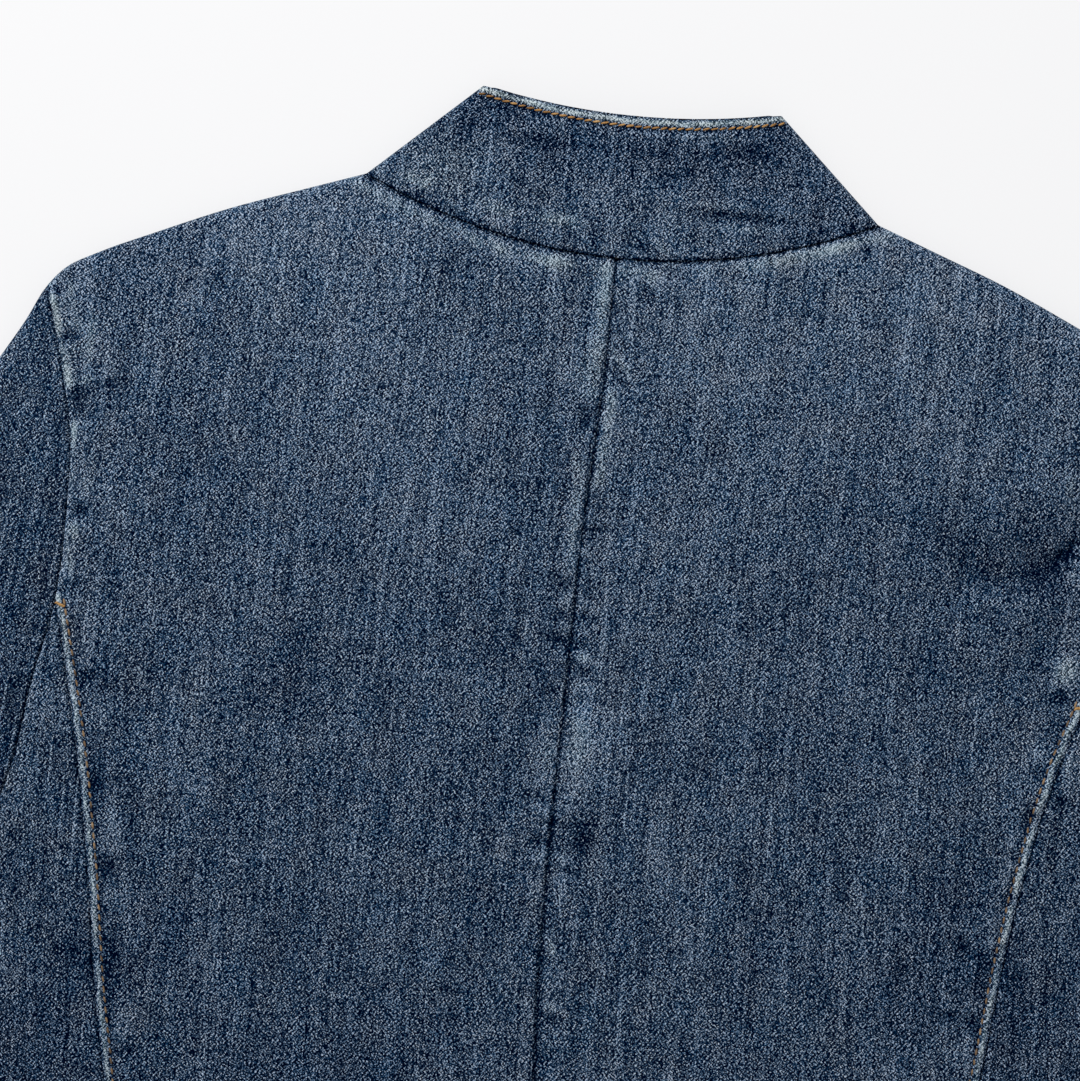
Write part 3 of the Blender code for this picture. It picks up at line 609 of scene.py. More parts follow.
def sway_of(plan):
    """How far the cloth at a plan place has slipped sideways as the jacket was laid down."""
    x, y = plan[..., 0], plan[..., 1]
    heights, *slips = zip(*SWAY)
    left, centre, right = [np.interp(y, heights, slip) for slip in slips]
    share = np.clip(np.abs(x) / SWAY_REACH, 0, 1)
    slip = centre + (np.where(x < 0, left, right) - centre) * share
    return MM * slip * np.clip((SWAY_END - np.abs(x)) / (SWAY_END - SWAY_REACH), 0, 1)


def on_side(laid, left):
    flip = np.array([-1 if left else 1, 1, 1])
    plan, grain = laid.plan * flip[:2], laid.grain * flip[:2]
    laid = laid._replace(plan=plan, grain=grain, points=laid.points * flip, normals=laid.normals * flip)
    laid.points[..., 0] += sway_of(laid.plan)
    return laid


def fold_lift(plan, distance, folds, end):
    lift = np.zeros(plan.shape[:2])
    for fold in folds:
        start = np.array([fold.from_x, fold.from_y])
        run = np.array([fold.to_x, fold.to_y]) - start
        share = ((plan - start) @ run) / (run @ run)
        aside = np.linalg.norm(plan - start - np.clip(share, 0, 1)[..., None] * run, axis=-1)
        lift += fold.height * np.exp(-((aside / fold.width) ** 2))
    return lift * np.clip(distance / end, 0, 1)


MARK_FALLOFF = 1.1  # 1 gives a mark the soft shoulders of a bell curve, more gives flatter ones


def mark_rise(plan):
    """Lift in metres and luma of the listed puckers and worn places: wear, with painted shade in hollows and
    creases and painted light on raised places.
    """
    lift, fade = np.zeros((2, *plan.shape[:2]))
    for mark in MARKS:
        lean = np.radians(mark.lean)
        offset = plan / MM - (mark.x, mark.y)
        along = offset @ (np.cos(lean), np.sin(lean)) / mark.reach
        aside = offset @ (-np.sin(lean), np.cos(lean)) / mark.width
        near = np.exp(-((along**2 + aside**2) ** MARK_FALLOFF))
        lift += mark.lift * MM * near
        fade += mark.fade * near
    return lift, fade


WAVES = 7
SHORTEST_WAVE, LONGEST_WAVE = 5.5, 19  # millimetres
WAVES_TOGETHER = 2.6  # brings the sum of the waves to about 1
UNEVEN_RIBS = 0.18
WANDER = 0.18  # millimetres by which ribs wander from their seam's line
WANDER_PACE = 0.7
CRIMP_LEAN = 0.25  # puckers lean along the seam by this much of their distance from it
CRIMP_REACH = 7  # millimetres
CRIMP_FALLOFF = 1.5
CRIMP_WEAR_AND_SHADE = 26  # luma for each millimetre of pucker: paler worn crests, painted shade in the hollows


def ripple(along, seed):
    """An uneven wave along a seam, between about -1 and 1, with its own lengths for each seed."""
    dice = np.random.RandomState(seed)
    waves = dice.uniform(SHORTEST_WAVE, LONGEST_WAVE, WAVES) * MM
    starts = dice.uniform(0, 2 * np.pi, WAVES)
    swing = sum(np.sin(2 * np.pi * along / wave + start) for wave, start in zip(waves, starts))
    return swing / WAVES_TOGETHER


def seam_rise(plan, seams):
    """Lift in metres and luma beside the seams: their ditches with painted shade, their worn ribs and their
    puckers.
    """
    lift, fade = np.zeros((2, *plan.shape[:2]))
    side = np.sign(plan[..., 0])
    right_half = np.stack([np.abs(plan[..., 0]), plan[..., 1]], axis=-1)
    for seam in seams:
        away, _, along = nearest(right_half.reshape(-1, 2), seam.line)
        distance = np.linalg.norm(away, axis=1).reshape(plan.shape[:2]) / MM
        along = along.reshape(plan.shape[:2]) * side
        uneven = 1 + UNEVEN_RIBS * ripple(along, seam.seed)
        wander = WANDER * ripple(along * WANDER_PACE, seam.seed + 1)
        for rib in seam.ribs:
            centre = rib.centre + wander * (rib.centre > 0)
            near = np.exp(-(((distance - centre) / rib.width) ** 2)) * uneven
            lift += rib.lift * MM * near
            fade += rib.fade * near
        crimp = ripple(along + CRIMP_LEAN * MM * distance, seam.seed + 2)
        crimp *= np.exp(-((distance / CRIMP_REACH) ** CRIMP_FALLOFF))
        lift += seam.pucker * MM * crimp
        fade += CRIMP_WEAR_AND_SHADE * seam.pucker * crimp
    return lift, fade


MID_LUMA = 70
SIDES_FROM_X, SIDES_OVER_X = 0.115, 0.06  # where the sides of the body begin, and how gradually
SIDES_FROM_Y, SIDES_OVER_Y = -0.13, 0.08
SIDES_TONE = -6
WORN_EDGE = 0.007  # width of the paler cloth along the outline
WORN_EDGE_TONE = 12
CREASE_SHADING = 7 / MM  # painted light on a crease's ridge and painted shade in its trough, luma for each metre of its height
FOLD_SHADING = 0.5 * CREASE_SHADING
EDGE_CALM = 0.0018  # relief dies out this near the outline, where the back meets the front


def place_tone(laid):
    """How much paler or darker the cloth is by its place, in luma: darker towards the hem and at the sides,
    paler along the worn outline.
    """
    x, y = np.abs(laid.plan[..., 0]), laid.plan[..., 1]
    heights, lumas = zip(*BACK_TONES)
    tone = np.interp(y, heights, lumas) - MID_LUMA
    sides = np.clip((x - SIDES_FROM_X) / SIDES_OVER_X, 0, 1)
    sides *= np.clip((SIDES_FROM_Y - y) / SIDES_OVER_Y, 0, 1)
    return tone + SIDES_TONE * sides + WORN_EDGE_TONE * np.exp(-laid.distance / WORN_EDGE)


def relief(laid, seams):
    """Rise along the normals, in metres, and luma of laid cloth: wear, with painted shade in its ditches,
    creases and hollows and painted light on its ridges.
    """
    lift, fade = seam_rise(laid.plan, seams)
    if laid.face == FRONT:
        return np.zeros_like(lift), fade + place_tone(laid)
    # worn holds the marks' wear together with their painted shade in hollows and painted light on raised
    # places
    marks, worn = mark_rise(laid.points[..., :2])
    folds = fold_lift(laid.plan, laid.distance, FOLDS, FOLDS_END)
    creases = fold_lift(laid.plan, laid.distance, CREASES, CREASES_END)
    lift = (lift + marks + creases) * np.clip(laid.distance / EDGE_CALM, 0, 1) + folds
    # creases and folds add painted shade in their troughs and painted light on their ridges
    return lift, fade + worn + CREASE_SHADING * creases + FOLD_SHADING * folds + place_tone(laid)


def patch(bottom, top, left, right):
    """Plan grid [row][column] between four rows of points; left and right run up, the others across."""
    low, high, near, far = [shares_of(side) for side in (bottom, top, left, right)]
    middle = np.linspace(0, 1, len(bottom))
    v = near[:, None] * (1 - middle) + far[:, None] * middle
    u = low[None] * (1 - v) + high[None] * v
    u, v = u[..., None], v[..., None]
    grid = (1 - v) * bottom[None] + v * top[None] + (1 - u) * left[:, None] + u * right[:, None]
    grid -= (1 - u) * (1 - v) * bottom[0] + u * (1 - v) * bottom[-1]
    return grid - (1 - u) * v * top[0] - u * v * top[-1]


def drawn_back(grid, column, inside):
    """The grid with one column drawn half a seam's gap towards the next."""
    grid[:, column] += unit(grid[:, inside] - grid[:, column]) * SEAM_CLOSED / 2
    return grid


Hemmed = namedtuple("Hemmed", "plan outer_depth inner_depth inner_shift")
HEM_AIM = 4  # a hem turns up towards this row of its panel


def hemmed(grid):
    """A panel whose first row is a hem, with its cloth turned up inside."""
    way = unit(grid[HEM_AIM] - grid[0])
    inner_round = HEM_ROUND - CLOTH
    out = np.concatenate([HEM_INSIDE, HEM_ROUND * (1 - np.sin(HEM_ARC))])
    shift = np.concatenate([HEM_INSIDE, HEM_ROUND - inner_round * np.sin(HEM_ARC)]) - out
    under = np.full(len(HEM_INSIDE), 2 * HEM_ROUND)
    outer_depth = np.concatenate([under, HEM_ROUND * (1 + np.cos(HEM_ARC))])
    inner_depth = np.concatenate([under - CLOTH, HEM_ROUND + inner_round * np.cos(HEM_ARC)])
    rest = len(grid) - 1
    return Hemmed(
        np.concatenate([grid[0] + out[:, None, None] * way, grid[1:]]),
        np.concatenate([outer_depth, np.zeros(rest)]),
        np.concatenate([inner_depth, np.full(rest, CLOTH)]),
        np.concatenate([shift[:, None, None] * way, np.zeros((rest, *way.shape))]),
    )


def unhemmed(grid, outer_depth=0.0):
    depth = np.full(len(grid), outer_depth)
    return Hemmed(grid, depth, depth + CLOTH, np.zeros_like(grid))


Skins = namedtuple("Skins", "outer inner grain fade")


def skins(laid, hem, seams, left):
    """Both faces of a panel's cloth on one side of the jacket, with their grain and their wear and painted
    shade.
    """
    laid = on_side(laid, left)
    lift, fade = relief(laid, seams)
    shift = np.concatenate([hem.inner_shift, np.zeros((*lift.shape, 1))], axis=-1)
    shift *= (-1, 1, 1) if left else (1, 1, 1)
    outer = laid.points + (lift - hem.outer_depth[:, None])[..., None] * laid.normals
    inner = laid.points + (lift - hem.inner_depth[:, None])[..., None] * laid.normals + shift
    return Skins(outer, inner, laid.grain, fade)


REVERSE_FADE = 38  # the weft shows on the inside of denim
SEAM_EDGE_SHADE = -40  # painted shade on the cloth's cut edges, down in the seams
FADE_AND_SHADE_UNIT = 100  # luma for each 1 of the attribute that holds wear and painted shade


def cloth_shell(name, cloth, material, grain_turn=0.0, tube=False):
    """One closed piece of cloth between two point grids [row][column]; a tube's columns run round."""
    rows, columns = cloth.fade.shape
    count = rows * columns
    index = np.arange(count).reshape(rows, columns)
    if tube:
        index = np.column_stack([index, index[:, 0]])
    face = np.stack([index[:-1, :-1], index[:-1, 1:], index[1:, 1:], index[1:, :-1]], axis=-1)
    face = face.reshape(-1, 4)
    rims = [(index[0, 1:], index[0, :-1]), (index[-1, :-1], index[-1, 1:])]
    if not tube:
        rims += [(index[:-1, 0], index[1:, 0]), (index[1:, -1], index[:-1, -1])]
    rims = [np.stack([first, second, second + count, first + count], axis=-1) for first, second in rims]
    faces = np.concatenate([face, face[:, ::-1] + count, *rims])
    points = np.concatenate([cloth.outer.reshape(-1, 3), cloth.inner.reshape(-1, 3)]) + IN_FRAME
    corners = points[faces]
    ways = np.cross(corners[:, 2] - corners[:, 0], corners[:, 3] - corners[:, 1])
    if (corners.mean(axis=1) * ways).sum() < 0:
        faces = faces[:, ::-1]
    mesh = bpy.data.meshes.new(name)
    mesh.from_pydata(points.tolist(), [], faces.tolist())
    cos, sin = np.cos(grain_turn), np.sin(grain_turn)
    turn = np.array([[cos, -sin], [sin, cos]])
    grain = np.column_stack([cloth.grain.reshape(-1, 2) @ turn, np.zeros(count)])
    inside = cloth.fade + REVERSE_FADE
    inside[[0, -1]] = cloth.fade[[0, -1]] + SEAM_EDGE_SHADE
    if not tube:
        inside[:, [0, -1]] = cloth.fade[:, [0, -1]] + SEAM_EDGE_SHADE
    places = mesh.attributes.new("grain", "FLOAT_VECTOR", "POINT")
    places.data.foreach_set("vector", np.tile(grain, (2, 1)).ravel())
    fade_and_shade_layer = mesh.attributes.new("fade", "FLOAT", "POINT")
    fade_and_shade_layer.data.foreach_set("value", np.concatenate([cloth.fade.ravel(), inside.ravel()]) / FADE_AND_SHADE_UNIT)
    mesh.shade_smooth()
    mesh.set_sharp_from_angle(angle=SHARP)
    mesh.materials.append(material)
    piece = bpy.data.objects.new(name, mesh)
    bpy.context.scene.collection.objects.link(piece)
    return piece


def seam_edge(points, turn, ends):
    """A panel's edge, half a seam's gap to one side of the seam and, at its ends, along the folds there."""
    run = np.gradient(points, lengths_of(points), axis=0)
    off = turn * np.column_stack([-run[:, 1], run[:, 0]])
    for place, way in ends.items():
        off[place] = way
    return points + unit(off) * SEAM_CLOSED / 2


def front_neck(turn):
    drop = NECK_DROP + COLLAR_FOOT.y
    return np.column_stack([COLLAR_FOOT.x * np.sin(turn), COLLAR_FOOT.y - drop * np.cos(turn)])


def front_collar_top(turn):
    drop = NECK_DROP - COLLAR_FRONT + COLLAR_CORNER.y
    return np.column_stack([COLLAR_CORNER.x * np.sin(turn), COLLAR_CORNER.y - drop * np.cos(turn)])


# Even steps of the panels' grids between the finer steps at their edges.
FRONT_NECK_POINTS = 40
NECK_STEPS, SHOULDER_STEPS, BACK_SIDE_STEPS, BACK_ARMHOLE_STEPS = 34, 40, 270, 100
SIDE_BACK_ROWS, SIDE_BACK_COLUMNS = 180, 30
FRONT_SHOULDER_STEPS, FRONT_SIDE_STEPS, FRONT_ARMHOLE_STEPS = 16, 60, 60
SLEEVE_ROWS, SLEEVE_COLUMNS = 150, 62
COLLAR_ROWS, COLLAR_COLUMNS = 16, 84

neck_ways = {-1: shoulder_curve[1] - shoulder_curve[0]}
body_ways = {0: shoulder_curve[-2] - shoulder_curve[-1], -1: side_curve[-2] - side_curve[-1]}
sleeve_ways = {0: over_curve[1] - over_curve[0], -1: under_curve[1] - under_curve[0]}
body_armhole = seam_edge(armhole_curve, -1, body_ways)
sleeve_armhole = seam_edge(armhole_curve, 1, sleeve_ways)
upper_body = body_armhole[: len(armhole_upper)]
lower_body = body_armhole[len(armhole_upper) - 1 :]
back_neck = seam_edge(neck_curve, -1, neck_ways)
body_shoulder = np.concatenate([back_neck[-1:], shoulder_curve[1:-1], upper_body[:1]])
fold_turns = np.pi / 2 - FOLD_STEPS[::-1] / (NECK_DROP + COLLAR_FOOT.y)
front_turns = np.concatenate([np.linspace(0, fold_turns[0], FRONT_NECK_POINTS)[:-1], fold_turns])

BACK_SEAMS = (
    Seam(centre_line, CENTRE_SEAM, 0.20, 11),
    Seam(princess_curve, PRINCESS_LAP, 0.10, 21),
    Seam(armhole_upper, ARMHOLE_LAP, 0.20, 31),
    Seam(neck_curve, NECK_SEAM, 0.07, 41),
    Seam(hem_line, HEM_EDGE, 0.12, 51),
)
SIDE_SEAMS = (
    Seam(princess_curve, PRINCESS_UNDER, 0.14, 61),
    Seam(armhole_lower, ARMHOLE_LAP, 0.18, 31),
    Seam(hem_line, HEM_EDGE, 0.12, 51),
)
FRONT_SEAMS = (Seam(armhole_curve, ARMHOLE_LAP, 0.18, 31),)
SLEEVE_SEAMS = (
    Seam(armhole_curve, ARMHOLE_UNDER, 0.20, 71),
    Seam(cuff_line, HEM_EDGE, 0.12, 81),
)
COLLAR_SEAMS = (
    Seam(neck_curve, COLLAR_SEAM, 0.12, 91),
    Seam(top_curve, COLLAR_EDGE, 0.06, 95),
)


def back_plan():
    neck = points_along(back_neck, SEAM_STEPS, PLAIN_END, NECK_STEPS)
    shoulder = points_along(body_shoulder, PLAIN_END, SEAM_STEPS, SHOULDER_STEPS)
    top = np.concatenate([neck, shoulder[1:]])
    princess = points_along(princess_curve, HEM_STEPS, PLAIN_END, BACK_SIDE_STEPS)
    armhole = stations(upper_body[::-1], spaced(upper_body, PLAIN_END, FOLD_STEPS, BACK_ARMHOLE_STEPS))
    right = np.concatenate([princess[:-1], armhole])
    centre = np.array([(0, HEM_Y), back_neck[0]])
    side = stations(centre, shares_of(right))
    bottom = stations(np.array([(0, HEM_Y), princess[0]]), shares_of(top))
    grid = drawn_back(patch(bottom, top, side, right), 0, 1)
    below = np.s_[: len(princess)]
    grid[below] = drawn_back(grid[below], -1, -2)
    return grid


def side_back_plan():
    near = points_along(princess_curve, HEM_STEPS, SEAM_STEPS, SIDE_BACK_ROWS)
    far = points_along(side_curve, HEM_STEPS, SEAM_STEPS, SIDE_BACK_ROWS)
    near[-1], far[-1] = lower_body[0], lower_body[-1]
    bottom = np.array([near[0], far[0]])
    hem = points_along(bottom, SEAM_STEPS, FOLD_STEPS, SIDE_BACK_COLUMNS)
    top = points_along(lower_body, SEAM_STEPS, FOLD_STEPS, SIDE_BACK_COLUMNS)
    return drawn_back(patch(hem, top, near, far), 0, 1)


def front_plan():
    lap_turn = -np.arcsin(FRONT_LAP / COLLAR_FOOT.x)
    neck = front_neck(np.concatenate([[lap_turn, lap_turn / 2], front_turns]))
    neck = seam_edge(neck, -1, neck_ways)
    shoulder = points_along(body_shoulder, PLAIN_END, SEAM_STEPS, FRONT_SHOULDER_STEPS)
    top = np.concatenate([neck, shoulder[1:]])
    side = points_along(side_curve, HEM_STEPS, PLAIN_END, FRONT_SIDE_STEPS)
    shares = spaced(body_armhole, FOLD_STEPS, FOLD_STEPS, FRONT_ARMHOLE_STEPS)
    armhole = stations(body_armhole[::-1], shares)
    right = np.concatenate([side[:-1], armhole])
    centre = np.array([(-FRONT_LAP, HEM_Y), neck[0]])
    left = stations(centre, shares_of(right))
    bottom = np.array([(-FRONT_LAP, HEM_Y), side[0]])
    hem = points_along(bottom, PLAIN_END, FOLD_STEPS, len(top) - len(FOLD_STEPS))
    return patch(hem, top, left, right)


def sleeve_plan():
    """Plan grid [section][station], from the cuff up to the armhole."""
    shares = spaced(armhole_curve, FOLD_STEPS, FOLD_STEPS, SLEEVE_COLUMNS)
    armhole = stations(sleeve_armhole, shares)
    start, end = armhole[0], armhole[-1]
    bow = armhole - (start + (end - start) * shares[:, None])
    rows = spaced(over_curve, SEAM_STEPS, HEM_STEPS, SLEEVE_ROWS)
    steps = len(FOLD_STEPS) - 1
    sections = []
    for row, outer, inner in zip(rows, stations(over_curve, rows), stations(under_curve, rows)):
        outer, inner = (outer, inner) if row > 0 else (start, end)
        near = FOLD_STEPS / (np.linalg.norm(inner - outer) if row > 0 else lengths_of(armhole_curve)[-1])
        middle = shares[steps:-steps]
        middle = np.interp(middle, (middle[0], middle[-1]), (near[-1], 1 - near[-1]))
        place = np.concatenate([near[:-1], middle, 1 - near[-2::-1]])
        sections.append(outer + (inner - outer) * place[:, None] + bow * (1 - row) ** 2)
    return np.array(sections[::-1])


def collar_plans(foot_off, rise):
    """Plan grids [row][column] of the collar's right half, on the front and on the back."""
    heights = spaced(collar_side, SEAM_STEPS, SEAM_STEPS, COLLAR_ROWS)
    neck = points_along(neck_curve, PLAIN_END, FOLD_STEPS, COLLAR_COLUMNS)
    top = points_along(top_curve, PLAIN_END, FOLD_STEPS, COLLAR_COLUMNS)
    neck_front, top_front = front_neck(front_turns), front_collar_top(front_turns)
    neck_front[0, 0] = top_front[0, 0] = SEAM_GAP
    plans = {}
    for face, feet, tops in ((FRONT, neck_front, top_front), (BACK, neck, top)):
        way = unit(tops - feet)
        foot, head = feet + way * foot_off, tops + way * rise
        plans[face] = foot + (head - foot) * heights[:, None, None]
    return plans


def collar_band(depth, foot_off, rise):
    """One layer of the collar, from the right centre front round the back to the left centre front."""
    plans = collar_plans(foot_off, rise)
    strips = []
    for left, face in ((False, FRONT), (False, BACK), (True, BACK), (True, FRONT)):
        strip = skins(lay(plans[face], face), unhemmed(plans[face], depth), COLLAR_SEAMS, left)
        runs_in = (face == BACK) != left
        first = 1 if left and face == BACK else 0
        strips.append([part[:, ::-1] if runs_in else part[:, first:] for part in strip])
    return Skins(*[np.concatenate(parts, axis=1) for parts in zip(*strips)])


def lapped(cloth):
    """The left front, lifted where it lies on the right one."""
    for face in (cloth.outer, cloth.inner):
        past = (FRONT_LAP + LAP_RAMP + face[..., 0]) / LAP_RAMP
        face[..., 2] += LAP_LIFT * np.clip(past, 0, 1)
    return cloth


class Nodes:
    """Adds nodes to one tree: a type, its settings, then the values or links of its sockets."""

    def __init__(self, tree):
        self.tree = tree

    def add(self, kind, settings=None, sockets=None):
        node = self.tree.nodes.new(kind)
        for name, setting in (settings or {}).items():
            if name == "stops":
                self.set_stops(node.color_ramp, setting)
            else:
                setattr(node, name, setting)
        for name, given in (sockets or {}).items():
            if isinstance(given, Value):
                given = given.socket
            if isinstance(given, bpy.types.NodeSocket):
                self.tree.links.new(given, node.inputs[name])
            else:
                node.inputs[name].default_value = given
        return node

    @staticmethod
    def set_stops(ramp, stops):
        while len(ramp.elements) < len(stops):
            ramp.elements.new(1)
        for element, (place, colour) in zip(ramp.elements, stops):
            element.position = place
            element.color = colour

    def value(self, kind, settings=None, sockets=None, output=0):
        return Value(self, self.add(kind, settings, sockets).outputs[output])


def operator(operation, swapped=False):
    """A method of Value that adds one Math node."""

    def join(self, other=0.0):
        first, second = (other, self) if swapped else (self, other)
        return self.nodes.value("ShaderNodeMath", {"operation": operation}, {0: first, 1: second})

    return join


class Value:
    """A number's socket, on which Python's operators add Math nodes."""

    def __init__(self, nodes, socket):
        self.nodes = nodes
        self.socket = socket

    __add__ = operator("ADD")
    __radd__ = operator("ADD", swapped=True)
    __sub__ = operator("SUBTRACT")
    __rsub__ = operator("SUBTRACT", swapped=True)
    __mul__ = operator("MULTIPLY")
    __truediv__ = operator("DIVIDE")
    __mod__ = operator("FLOORED_MODULO")
    __lt__ = operator("LESS_THAN")
    floor = operator("FLOOR")
    size = operator("ABSOLUTE")


def linear(colour):
    """A picture's colour, 0 to 255, as the light it stands for."""
    share = np.array(colour) / 255
    return (*np.where(share < 0.04045, share / 12.92, ((share + 0.055) / 1.055) ** 2.4).tolist(), 1)


INDIGO_STOPS = (
    (6, (0, 6, 27)),
    (20, (4, 23, 45)),
    (40, (22, 43, 66)),
    (65, (48, 68, 91)),
    (95, (78, 98, 120)),
    (130, (113, 133, 154)),
    (170, (155, 172, 192)),
    (200, (187, 202, 220)),
)
LUMA_TOP = 200
WARP_PITCH = 0.000375
PICK_PITCH = 0.000525
FUZZ = 0.00032  # grain of the worn surface
FUZZ_BESIDE, FUZZ_ABOVE = 0.3, 0.15  # how much a speck darkens the next but one
TWILL = 4  # a 3/1 twill: the weft shows over one warp thread in four
THREAD_SWAY = 0.0006  # how far threads wander
WEFT_LIFT, WEFT_RANGE, WARP_DROP = 50, 40, 12.5  # luma of the weft's dots, its range, and of the warp
WEAR = 130  # how unevenly the wear and the painted shade take, in luma
SLUB, SLUB_START = 60, 20  # slubs a metre along a thread, and where the weft's start
SLUB_END, SLUB_PICK = 3.7, 3.1  # steps that tell warp and weft threads apart
ONE_ROW = 7.0  # a draw that stays the same along a thread
# Threads that are pale for a stretch: its length, its shift from thread to thread, and the draw they need.
Pale = namedtuple("Pale", "length shift draw")
PALE_END, PALE_PICK = Pale(0.024, 0.37, 0.480), Pale(0.014, 0.61, 0.488)
# Clouds of noise: how many a metre across and along the cloth, where they start, and how fine they are.
Cloud = namedtuple("Cloud", "across along from_across from_along detail rough")
CLOUDS = {
    "warp_sway": Cloud(420, 160, 0, 0, 1.0, 0.5),
    "pick_sway": Cloud(150, 300, 40, 0, 1.0, 0.5),
    "streak": Cloud(440, 27, 0, 9, 3.0, 0.6),
    "mottle": Cloud(40, 30, 0, 30, 2.0, 0.5),
    "patches": Cloud(14, 8, 5, 0, 2.0, 0.5),
    "wear": Cloud(300, 240, 0, 50, 2.0, 0.5),
    "tint": Cloud(90, 70, 70, 0, 2.0, 0.5),
}
# Luma that each layer gives for a whole step of its noise.
WASH_LAYERS = {"streak": 104, "mottle": 30, "patches": 42}
WEAVE_LAYERS = {"cell": 50, "fuzz": 226, "thread": 22, "slub": 62, "weft_slub": 44}
WEAVE_LAYERS |= {"pale_end": 46, "pale_pick": 36}
BARE_GAIN, BARE_FROM, BARE_MOST = 0.45, 0.10, 0.6  # how the dye goes as the fade grows
HUE, BARE_HUE = 0.504, 0.08
SATURATION, TINT = 1.12, 0.5
WEFT_ROUND, CELL_ROUND = 0.8, 0.5
WEAVE_BUMP, WEAVE_DEPTH = 0.35, 0.0002
ROUGHNESS, WEFT_SMOOTH = 0.92, 0.08


def denim(name, luma):
    """Washed twill: dark warp, pale weft dots on the diagonal, slubs, worn specks, and the cloth's fade with
    its painted shade and light.
    """
    material = bpy.data.materials.new(name)
    material.use_nodes = True
    tree = material.node_tree
    nodes = Nodes(tree)
    grain = nodes.add("ShaderNodeAttribute", {"attribute_name": "grain"}).outputs["Vector"]
    fade = nodes.value("ShaderNodeAttribute", {"attribute_name": "fade"}, output="Fac")
    place = nodes.add("ShaderNodeSeparateXYZ", None, {0: grain})
    across, along = Value(nodes, place.outputs[0]), Value(nodes, place.outputs[1])

    def noise(x, y, detail=2.0, rough=0.5):
        spot = nodes.add("ShaderNodeCombineXYZ", None, {0: x, 1: y}).outputs[0]
        sockets = {"Vector": spot, "Scale": 1.0, "Detail": detail, "Roughness": rough}
        return nodes.value("ShaderNodeTexNoise", {"noise_dimensions": "2D"}, sockets) - 0.5

    def cloud(kind):
        made = CLOUDS[kind]
        x, y = across * made.across + made.from_across, along * made.along + made.from_along
        return noise(x, y, made.detail, made.rough)

    def dice(x, y):
        spot = nodes.add("ShaderNodeCombineXYZ", None, {0: x, 1: y}).outputs[0]
        return nodes.value("ShaderNodeTexWhiteNoise", {"noise_dimensions": "2D"}, {"Vector": spot}) - 0.5

    def speck(x, y):
        bright = dice(x, y) + 0.5
        return bright * bright - 1 / 3

    def pale(thread, way, kind):
        stretch = (way / kind.length + thread * kind.shift).floor()
        return 1 - (dice(thread, stretch) < kind.draw)

    warp = (across + cloud("warp_sway") * THREAD_SWAY) / WARP_PITCH
    pick = (along + cloud("pick_sway") * THREAD_SWAY) / PICK_PITCH
    end, shed = warp.floor(), pick.floor()
    weft_up = ((shed - end) % TWILL) < 0.5
    cell = dice(end, shed)
    column, row = (across / FUZZ).floor(), (along / FUZZ).floor()
    shaded = speck(column + 2, row) * FUZZ_BESIDE, speck(column, row + 2) * FUZZ_ABOVE
    layers = {
        "cell": cell,
        "fuzz": speck(column, row) - shaded[0] - shaded[1],
        "thread": dice(end, ONE_ROW),
        "slub": noise(end * SLUB_END, along * SLUB),
        "weft_slub": noise(across * SLUB + SLUB_START, shed * SLUB_PICK),
        "pale_end": pale(end, along, PALE_END),
        "pale_pick": pale(shed, across, PALE_PICK),
    }
    weave = weft_up * (WEFT_LIFT + cell * WEFT_RANGE) - WARP_DROP
    for layer, gain in WEAVE_LAYERS.items():
        weave = weave + layers[layer] * gain
    tone = luma + fade * (FADE_AND_SHADE_UNIT + cloud("wear") * WEAR)
    for layer, gain in WASH_LAYERS.items():
        tone = tone + cloud(layer) * gain
    shade = (tone + weave) / LUMA_TOP
    stops = [(step / LUMA_TOP, linear(colour)) for step, colour in INDIGO_STOPS]
    indigo = nodes.add("ShaderNodeValToRGB", {"stops": stops}, {0: shade}).outputs[0]
    bare = {"Value": fade * BARE_GAIN - BARE_FROM, "Min": 0.0, "Max": BARE_MOST}
    bare = nodes.value("ShaderNodeClamp", None, bare)
    rich = SATURATION + cloud("tint") * TINT - bare
    dye = {"Hue": HUE - bare * BARE_HUE, "Saturation": rich, "Color": indigo}
    colour = nodes.add("ShaderNodeHueSaturation", None, dye)
    round_warp = 1 - (warp - end - 0.5).size() * 2
    round_pick = 1 - (pick - shed - 0.5).size() * 2
    height = weft_up * round_pick * WEFT_ROUND + (1 - weft_up) * round_warp + cell * CELL_ROUND
    raised = {"Strength": WEAVE_BUMP, "Distance": WEAVE_DEPTH, "Height": height}
    bump = nodes.add("ShaderNodeBump", None, raised)
    surface = tree.nodes["Principled BSDF"]
    surface.inputs["Specular IOR Level"].default_value = 0
    tree.links.new(colour.outputs[0], surface.inputs["Base Color"])
    tree.links.new((ROUGHNESS - weft_up * WEFT_SMOOTH).socket, surface.inputs["Roughness"])
    tree.links.new(bump.outputs[0], surface.inputs["Normal"])
    return material


TWISTS, WORN_SPOTS = 2600.0, 210.0  # a metre of thread
WORN_SHARE, TWIST_SHARE = 0.7, 0.3
THREAD_STOPS = (0.32, 0.5, 0.7)
THREAD_BUMP, THREAD_DEPTH, THREAD_ROUGHNESS = 0.5, 0.0001, 0.75
STITCH_SIDES, STITCH_RINGS = 8, 5


